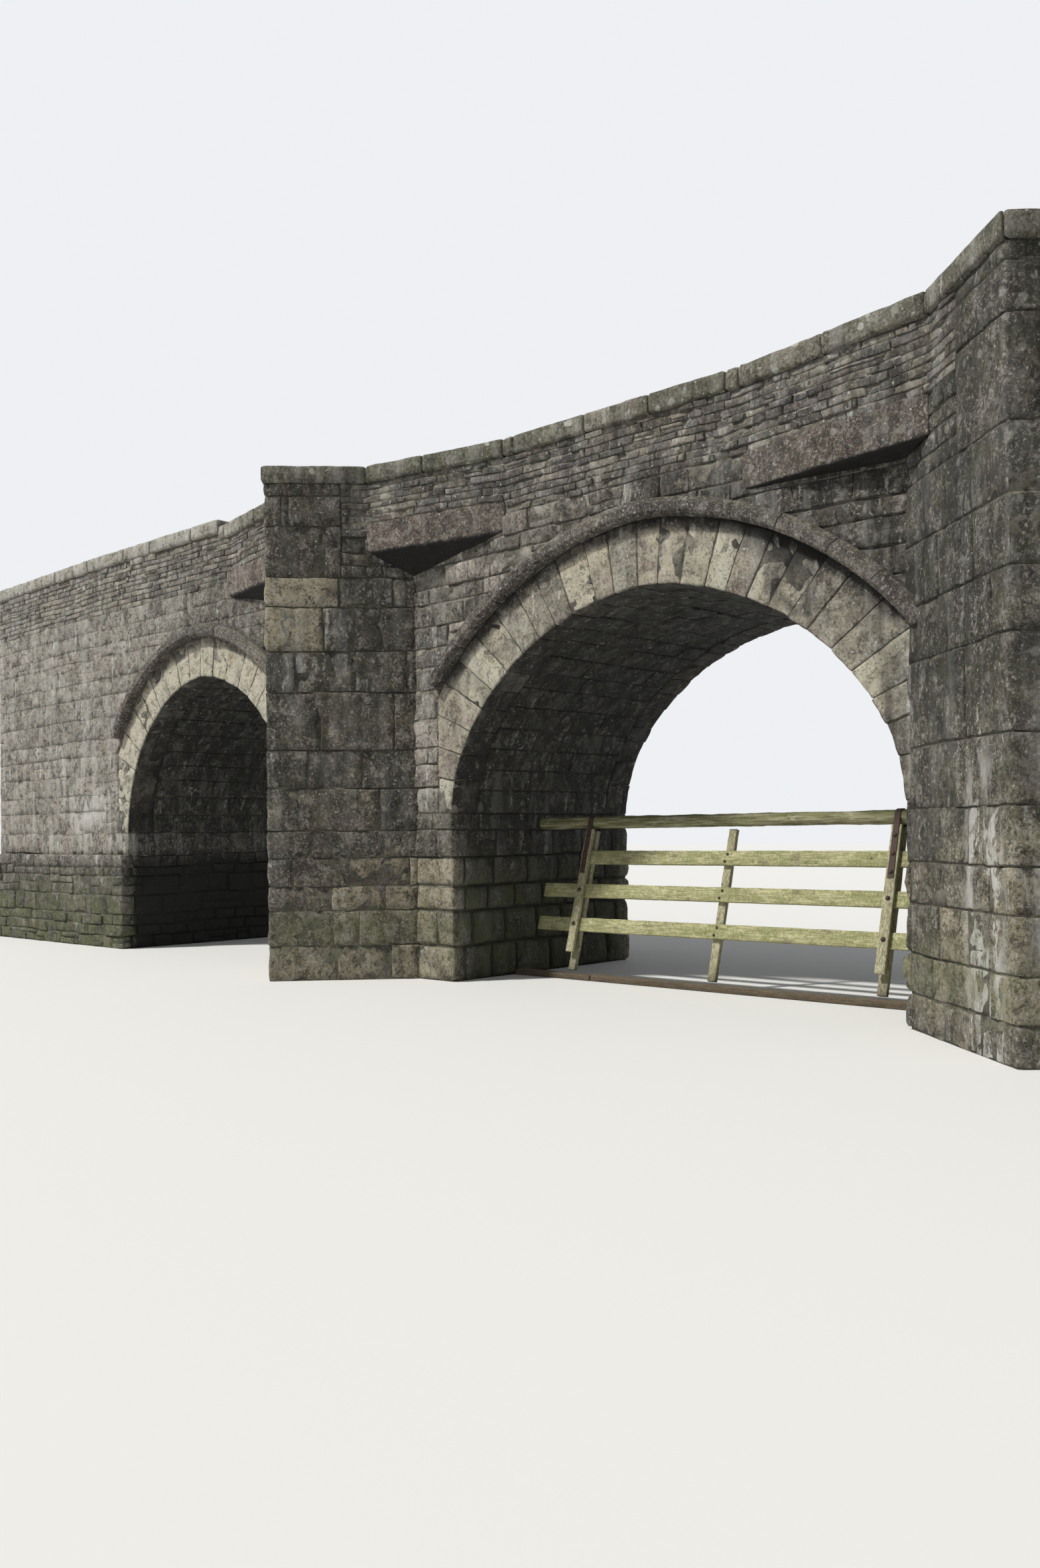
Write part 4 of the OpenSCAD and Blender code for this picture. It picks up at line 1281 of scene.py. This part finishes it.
def make_parapet_face(name, side, line, covered, seed):
    """Thin slaty courses. The inner face covers no parts of the frame."""
    line = np.array(line)[::-side] * [1, -side]
    surface = Wall(line, 0.02, parapet=True)
    # Points 1 to 7 and 8 to 14 are the two refuges; the outer line has one point before them
    reach = surface.line.reach[1:] if covered else surface.line.reach
    cuts = (LEFT_CUT, RIGHT_CUT) if line[-1][0] > 0 else (RIGHT_CUT, LEFT_CUT)

    def spans(v0, v1):
        holes = [(reach[1], reach[14])] if v1 > REFUGE_H + 0.01 else []
        if covered and not holes:
            for cut, n in zip(cuts, (4, 11)):
                holes.append((reach[n] - cut.quoin, reach[n] + cut.quoin))
                if v1 <= cut.rise + 0.01:
                    holes += [(reach[n - 2], reach[n - 1]), (reach[n + 1], reach[n + 2])]
        marks = [0.0, *[m for hole in sorted(holes) for m in hole], surface.line.length]
        return [(a, b) for a, b in zip(marks[::2], marks[1::2]) if b - a > 0.05]

    piece = Piece(name, "parapet_stone", covered, parapet_weather, seed)
    rows = [0.0, 0.075, *levels(piece.rng, LEFT_CUT.rise, REFUGE_H, 0.08, 0.4), PARAPET_H]
    face_wall(piece, surface, SLATY if covered and side < 0 else coarser(SLATY), rows,
              lambda h: 0.09 + 1.6 * h, spans, spread=0.75, split=0.2, quoin=0.07, least=0.04)
    piece.make("pale_mortar")


def make_parapet(name, side, seed):
    inner = shifted(PARAPET_LINE, PARAPET_T)
    covered = ["main_parapets", "left_parapets", "right_parapets", f"left_refuge_{name}",
               f"right_refuge_{name}"]
    make_parapet_face(f"{name}_parapet_outer_stones", side, [inner[0], *PARAPET_LINE, inner[-1]],
                      covered, seed)
    make_parapet_face(f"{name}_parapet_inner_stones", side, inner[::-1], [], seed + 1)


def coping_end(piece, x, turn, side, base):
    """The end face of a coping at x that looks along turn."""
    t = np.linspace(-COPING_OUT + 0.015, PARAPET_T + COPING_OUT - 0.015, 8)[:, None]
    level = ROAD - road_fall(x) + base
    face = pack(x, side * (FACE - t), level + np.linspace(0.012, COPING_T - 0.02, 5))
    sunk = 0.006 + 0.005 * (1 + noise(face, 0.07, 51))
    closed_sheet(piece, face - pack(turn * sunk, 0, 0), face - [turn * 0.06, 0, 0], 0.6)


def make_copings(seed):
    straight, refuge = (Piece(f"{name}_coping_slabs", "coping_granite", [f"{name}_copings"],
                              top_weather) for name in ("straight", "refuge"))
    straight.rng = refuge.rng = np.random.default_rng(seed)
    for side in (-1, 1):
        for piece, first, last, base in (
                (straight, 0, 1, PARAPET_H), (refuge, 1, 7, REFUGE_H), (straight, 7, 8, REFUGE_H),
                (refuge, 8, 14, REFUGE_H), (straight, 14, 15, PARAPET_H)):
            points = PARAPET_LINE[first:last + 1]
            surface = Coping(points, base, side)
            joints = [0.0]
            for a, b in zip(surface.reach, surface.reach[1:]):
                joints += list(levels(piece.rng, a, b, 0.95, 0.25)[1:]) if b - a > 0.3 else [b]
            profile_stones(piece, surface, COPING, joints)
            slab(piece, surface, COPING, 0.0, surface.line.length, np.array(joints) * 0.998 + 0.001,
                 0.01)
            if base == PARAPET_H:
                coping_end(piece, points[0][0], -1, side, base)
                coping_end(piece, points[1][0], 1, side, base)
    straight.make("mortar")
    refuge.make("mortar")


# Road and floodgate


def make_road(seed):
    """Gravel between the parapets and out into the refuges."""
    piece = Piece("road_surface", "road_gravel", ["road_fill"])
    inner = shifted(PARAPET_LINE, PARAPET_T - 0.06)
    x = np.linspace(-END + 0.05, END - 0.05, 280)[:, None]
    y = -np.interp(x, inner[:, 0], inner[:, 1]) * np.linspace(-1, 1, 25)
    top = pack(x, y, ROAD - road_fall(x))
    ruts = 0.02 * np.exp(-((np.abs(y) - 0.62) / 0.13)**2)
    top[..., 2] += 0.008 * fractal(top, 0.25, 3, seed) - ruts - 0.012
    closed_sheet(piece, top, top - [0, 0, 0.3], 0.0)
    piece.make()


GATE_TILT = math.radians(16)
COS, SIN = math.cos(GATE_TILT), math.sin(GATE_TILT)
TILT = np.array([[1, 0, 0], [0, COS, SIN], [0, -SIN, COS]])
AXIS = np.array(frame["joints"][0]["pos_m"])


def gate_point(p):
    """From the gate's own frame, plumb under the log, to its resting place."""
    return p @ TILT.T + AXIS


def board_box(node, tilted=True):
    """Lowest and highest corner of a board in its own frame."""
    co = np.array([v.co for v in frame["nodes"][node].data.vertices])
    local = (co - AXIS) @ TILT if tilted else co
    return local.min(0), local.max(0)


def rounded_block(size, cell, radius):
    """Points and quads of a closed block with rounded edges and one corner at nought."""
    steps = []
    for length in size:
        r = min(radius, length * 0.45)
        count = max(1, round((length - 2 * r) / cell))
        steps.append(np.array([0, *np.linspace(r, length - r, count + 1), length]))
    points, faces, total = [], [], 0
    for n in range(3):
        a, b = (n + 1) % 3, (n + 2) % 3
        for end in (0, 1):
            side = np.zeros((len(steps[a]), len(steps[b]), 3))
            side[..., n], side[..., a], side[..., b] = end * size[n], steps[a][:, None], steps[b]
            quads = grid_faces(*side.shape[:2]) + total
            faces.append(quads if end else quads[:, ::-1])
            points.append(side.reshape(-1, 3))
            total += len(points[-1])
    p, number = np.unique(np.concatenate(points), axis=0, return_inverse=True)
    core = np.where(size < 2 * radius, size / 2, np.clip(p, radius, size - radius))
    away = p - core
    dist = np.maximum(np.linalg.norm(away, axis=1, keepdims=True), 1e-9)
    return core + away / dist * np.minimum(radius, dist), number.ravel()[np.concatenate(faces)]


def worn_board(piece, lo, hi, place, seed, radius=0.006):
    lo, hi = np.array(lo) + 0.0006, np.array(hi) - 0.0006
    p, faces = rounded_block(hi - lo, 0.07, radius)
    p, middle, half = p + lo, (lo + hi) / 2, (hi - lo) / 2
    pull = 1 - np.abs(noise(p + seed, 0.11, seed))[:, None] * 0.004 / np.maximum(half, 0.01)
    piece.add(place(middle + (p - middle) * np.where(half < 0.4, pull, 1.0)), [faces])


GATE_BOARDS = ("top_rail", "middle_rail", "bottom_rail", "left_post", "middle_post", "right_post",
               "left_batten", "right_batten")


def make_gate():
    for n, board_name in enumerate(GATE_BOARDS):
        node = f"gate_{board_name}"
        slot = "rail_wood" if board_name.endswith("rail") else "post_wood"
        piece = Piece(f"{node}_board", slot, [node], body="floodgate")
        worn_board(piece, *board_box(node), gate_point, 200 + n)
        piece.make()
    for node in ("gate_left_strap", "gate_right_strap"):
        frame["nodes"][node].data.materials.clear()
        frame["nodes"][node].data.materials.append(MATS["strap_iron"])


def make_sill():
    piece = Piece("sill_planks", "sill_wood", ["sill_beam"])
    lo, hi = board_box("sill_beam", tilted=False)
    split = lo[0] + 1.15
    worn_board(piece, lo, (split - 0.01, hi[1] - 0.01, hi[2] - 0.006), np.array, 220, 0.008)
    worn_board(piece, (split, lo[1] + 0.006, lo[2]), hi, np.array, 221, 0.008)
    piece.make()


def make_log():
    """A round log with a worn, knotty skin, inside the frame's cylinder."""
    lo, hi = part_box("hanging_log")
    piece = Piece("hanging_log_wood", "log_wood", ["hanging_log"])
    radius = (hi.z - lo.z) / 2
    x, a = np.linspace(lo.x, hi.x, 120)[:, None], np.linspace(0, 2 * np.pi, 29)[:-1]
    unit = pack(x, np.cos(a) * radius, np.sin(a) * radius)
    flute = np.abs(noise(unit * [0.25, 1, 1], 0.035, 31)) * 0.008
    lump = np.abs(fractal(unit * [0.5, 1, 1], 0.3, 3, 32)) * 0.014
    near_strap = np.exp(-((np.abs(x) - 1.9) / 0.08)**2)
    r = radius - (flute + lump) * (1 - 0.8 * near_strap) - 0.0005
    skin = pack(x, (lo.y + hi.y) / 2 + np.cos(a) * r, (lo.z + hi.z) / 2 + np.sin(a) * r)
    piece.add(skin, tube_faces(*r.shape))
    piece.make()


def bolt(piece, x, y, z, radius=0.013):
    """A domed bolt head on a washer, standing towards -Y in the gate's frame."""
    out = np.array([0.0, 0.003, 0.003, 0.008, 0.011])[:, None]
    size = np.array([1.9, 1.9, 1.0, 0.92, 0.55])[:, None] * radius
    a = np.arange(12) * np.pi / 6
    piece.add(gate_point(pack(x + np.cos(a) * size, y - out, z + np.sin(a) * size)),
              tube_faces(5, 12))


def make_bolts():
    piece = Piece("gate_bolts", "strap_iron", [], body="floodgate")
    for side in ("left", "right"):
        lo, hi = board_box(f"gate_{side}_strap")
        x = (lo[0] + hi[0]) / 2
        for drop in (0.2, 0.38, 0.56):
            bolt(piece, x, lo[1], -drop)
        front = board_box(f"gate_{side}_batten")[0][1]
        for rail in ("middle", "bottom"):
            rail_lo, rail_hi = board_box(f"gate_{rail}_rail")
            bolt(piece, x, front, (rail_lo[2] + rail_hi[2]) / 2)
    for rail in ("top", "middle", "bottom"):
        lo, hi = board_box(f"gate_{rail}_rail")
        for dz in (-0.04, 0.04):
            bolt(piece, dz * 0.3, lo[1], (lo[2] + hi[2]) / 2 + dz, 0.008)
    piece.make()


make_bay("left", -1, LEFT_CUT, LEFT_MID, 101)
make_bay("right", 1, RIGHT_CUT, RIGHT_MID, 102)
make_abutment("left", -1, LEFT_OUT, 103)
make_abutment("right", 1, RIGHT_OUT, 104)
make_main_spandrels(110)
make_pier("left", LEFT_CUT, LEFT_COURSES, LEFT_IN, MAIN_L, left_pier_tint, 120)
make_pier("right", RIGHT_CUT, RIGHT_COURSES, RIGHT_IN, MAIN_R, right_pier_tint, 124)
SIDES = (("left", LEFT_MID, -END, LEFT_CUT.x - LEFT_CUT.half),
         ("right", RIGHT_MID, RIGHT_CUT.x + RIGHT_CUT.half, END))
make_barrel("main", MAIN_IN, 130)
for n, (name, middle, _, _) in enumerate(SIDES):
    make_barrel(name, SIDE_IN[middle], 131 + n)
make_ring("main", MAIN_IN, MAIN_EDGE, (2.25,), 25, 140)
for n, (name, middle, _, _) in enumerate(SIDES):
    make_ring(name, SIDE_IN[middle], SIDE_EDGE[middle], (2.19, 2.65), 16, 141 + n)
make_hood("main", main_curve(1.0), main_curve(1.0, HOOD_T), MAIN_SPRING + HOOD_FOOT,
          LEFT_CUT.x + LEFT_CUT.half, RIGHT_CUT.x - RIGHT_CUT.half, 143)
for n, (name, middle, left, right) in enumerate(SIDES):
    make_hood(name, side_curve(middle, SIDE_RING), side_curve(middle, SIDE_RING + HOOD_T),
              SIDE_SPRING + HOOD_FOOT, left, right, 144 + n)
make_corner_stones("left", LEFT_CUT, 150)
make_corner_stones("right", RIGHT_CUT, 151)
make_parapet("front", -1, 160)
make_parapet("back", 1, 165)
make_copings(170)
make_road(180)
make_gate()
make_sill()
make_log()
make_bolts()

# Floor, light and camera


def make_floor(r=120.0):
    mesh = bpy.data.meshes.new("floor")
    mesh.from_pydata([(-r, -r, 0), (r, -r, 0), (r, r, 0), (-r, r, 0)], [], [(0, 1, 2, 3)])
    Nodes("pale_floor", (218, 218, 216)).finish(0.9)
    mesh.materials.append(MATS["pale_floor"])
    floor = linked("floor", mesh)


def make_sun():
    """A broad, high light from the upstream left, as in the photo."""
    sun = bpy.data.lights.new("sun", "SUN")
    sun.energy, sun.angle, sun.color = 3.7, math.radians(5), (1.0, 0.975, 0.93)
    linked("sun", sun).rotation_euler = (math.radians(40), 0, math.radians(-32))


def make_sky():
    """An even light all round, with a plain pale backdrop for what the camera sees."""
    world = bpy.data.worlds.new("soft_light")
    bpy.context.scene.world = world
    world.use_nodes = True
    tree = world.node_tree
    tree.nodes.clear()
    seen = add_node(tree, "Background", {0: (238, 240, 243), 1: 1.0}).outputs[0]
    light = add_node(tree, "Background", {0: (0.93, 0.96, 1.0, 1.0), 1: 0.34}).outputs[0]
    rays = add_node(tree, "LightPath").outputs
    direct = rays["Is Camera Ray"]
    for kind in ("Is Glossy Ray", "Is Transmission Ray"):
        direct = add_node(tree, "Math", {0: direct, 1: rays[kind]}, operation="MAXIMUM").outputs[0]
    mix = add_node(tree, "MixShader", {0: direct, 1: light, 2: seen})
    add_node(tree, "OutputWorld", {0: mix.outputs[0]})


# Where the photograph was taken from, in metres and radians, and its lens in pixels
EYE = (7.466, -11.337, 1.65)
HEADING, PITCH, ROLL = 0.751, 0.0100, 0.0117
FOCAL, PRINCIPAL = 1900.4, (784.4, 1237.0)
IMAGE = (1568, 2363)


def make_camera():
    data = bpy.data.cameras.new("camera")
    data.sensor_fit = "AUTO"
    data.sensor_width = 36.0
    data.lens = FOCAL * data.sensor_width / IMAGE[1]
    data.shift_x = -(PRINCIPAL[0] - IMAGE[0] / 2) / IMAGE[1]
    data.shift_y = (PRINCIPAL[1] - IMAGE[1] / 2) / IMAGE[1]
    data.clip_end = 500
    camera = linked("camera", data)
    level = Matrix.Rotation(HEADING, 4, "Z") @ Matrix.Rotation(math.pi / 2 + PITCH, 4, "X")
    camera.matrix_world = Matrix.Translation(EYE) @ level @ Matrix.Rotation(-ROLL, 4, "Z")
    bpy.context.scene.camera = camera


make_floor()
make_sun()
make_sky()
make_camera()
bpy.context.scene.view_settings.view_transform = "Standard"
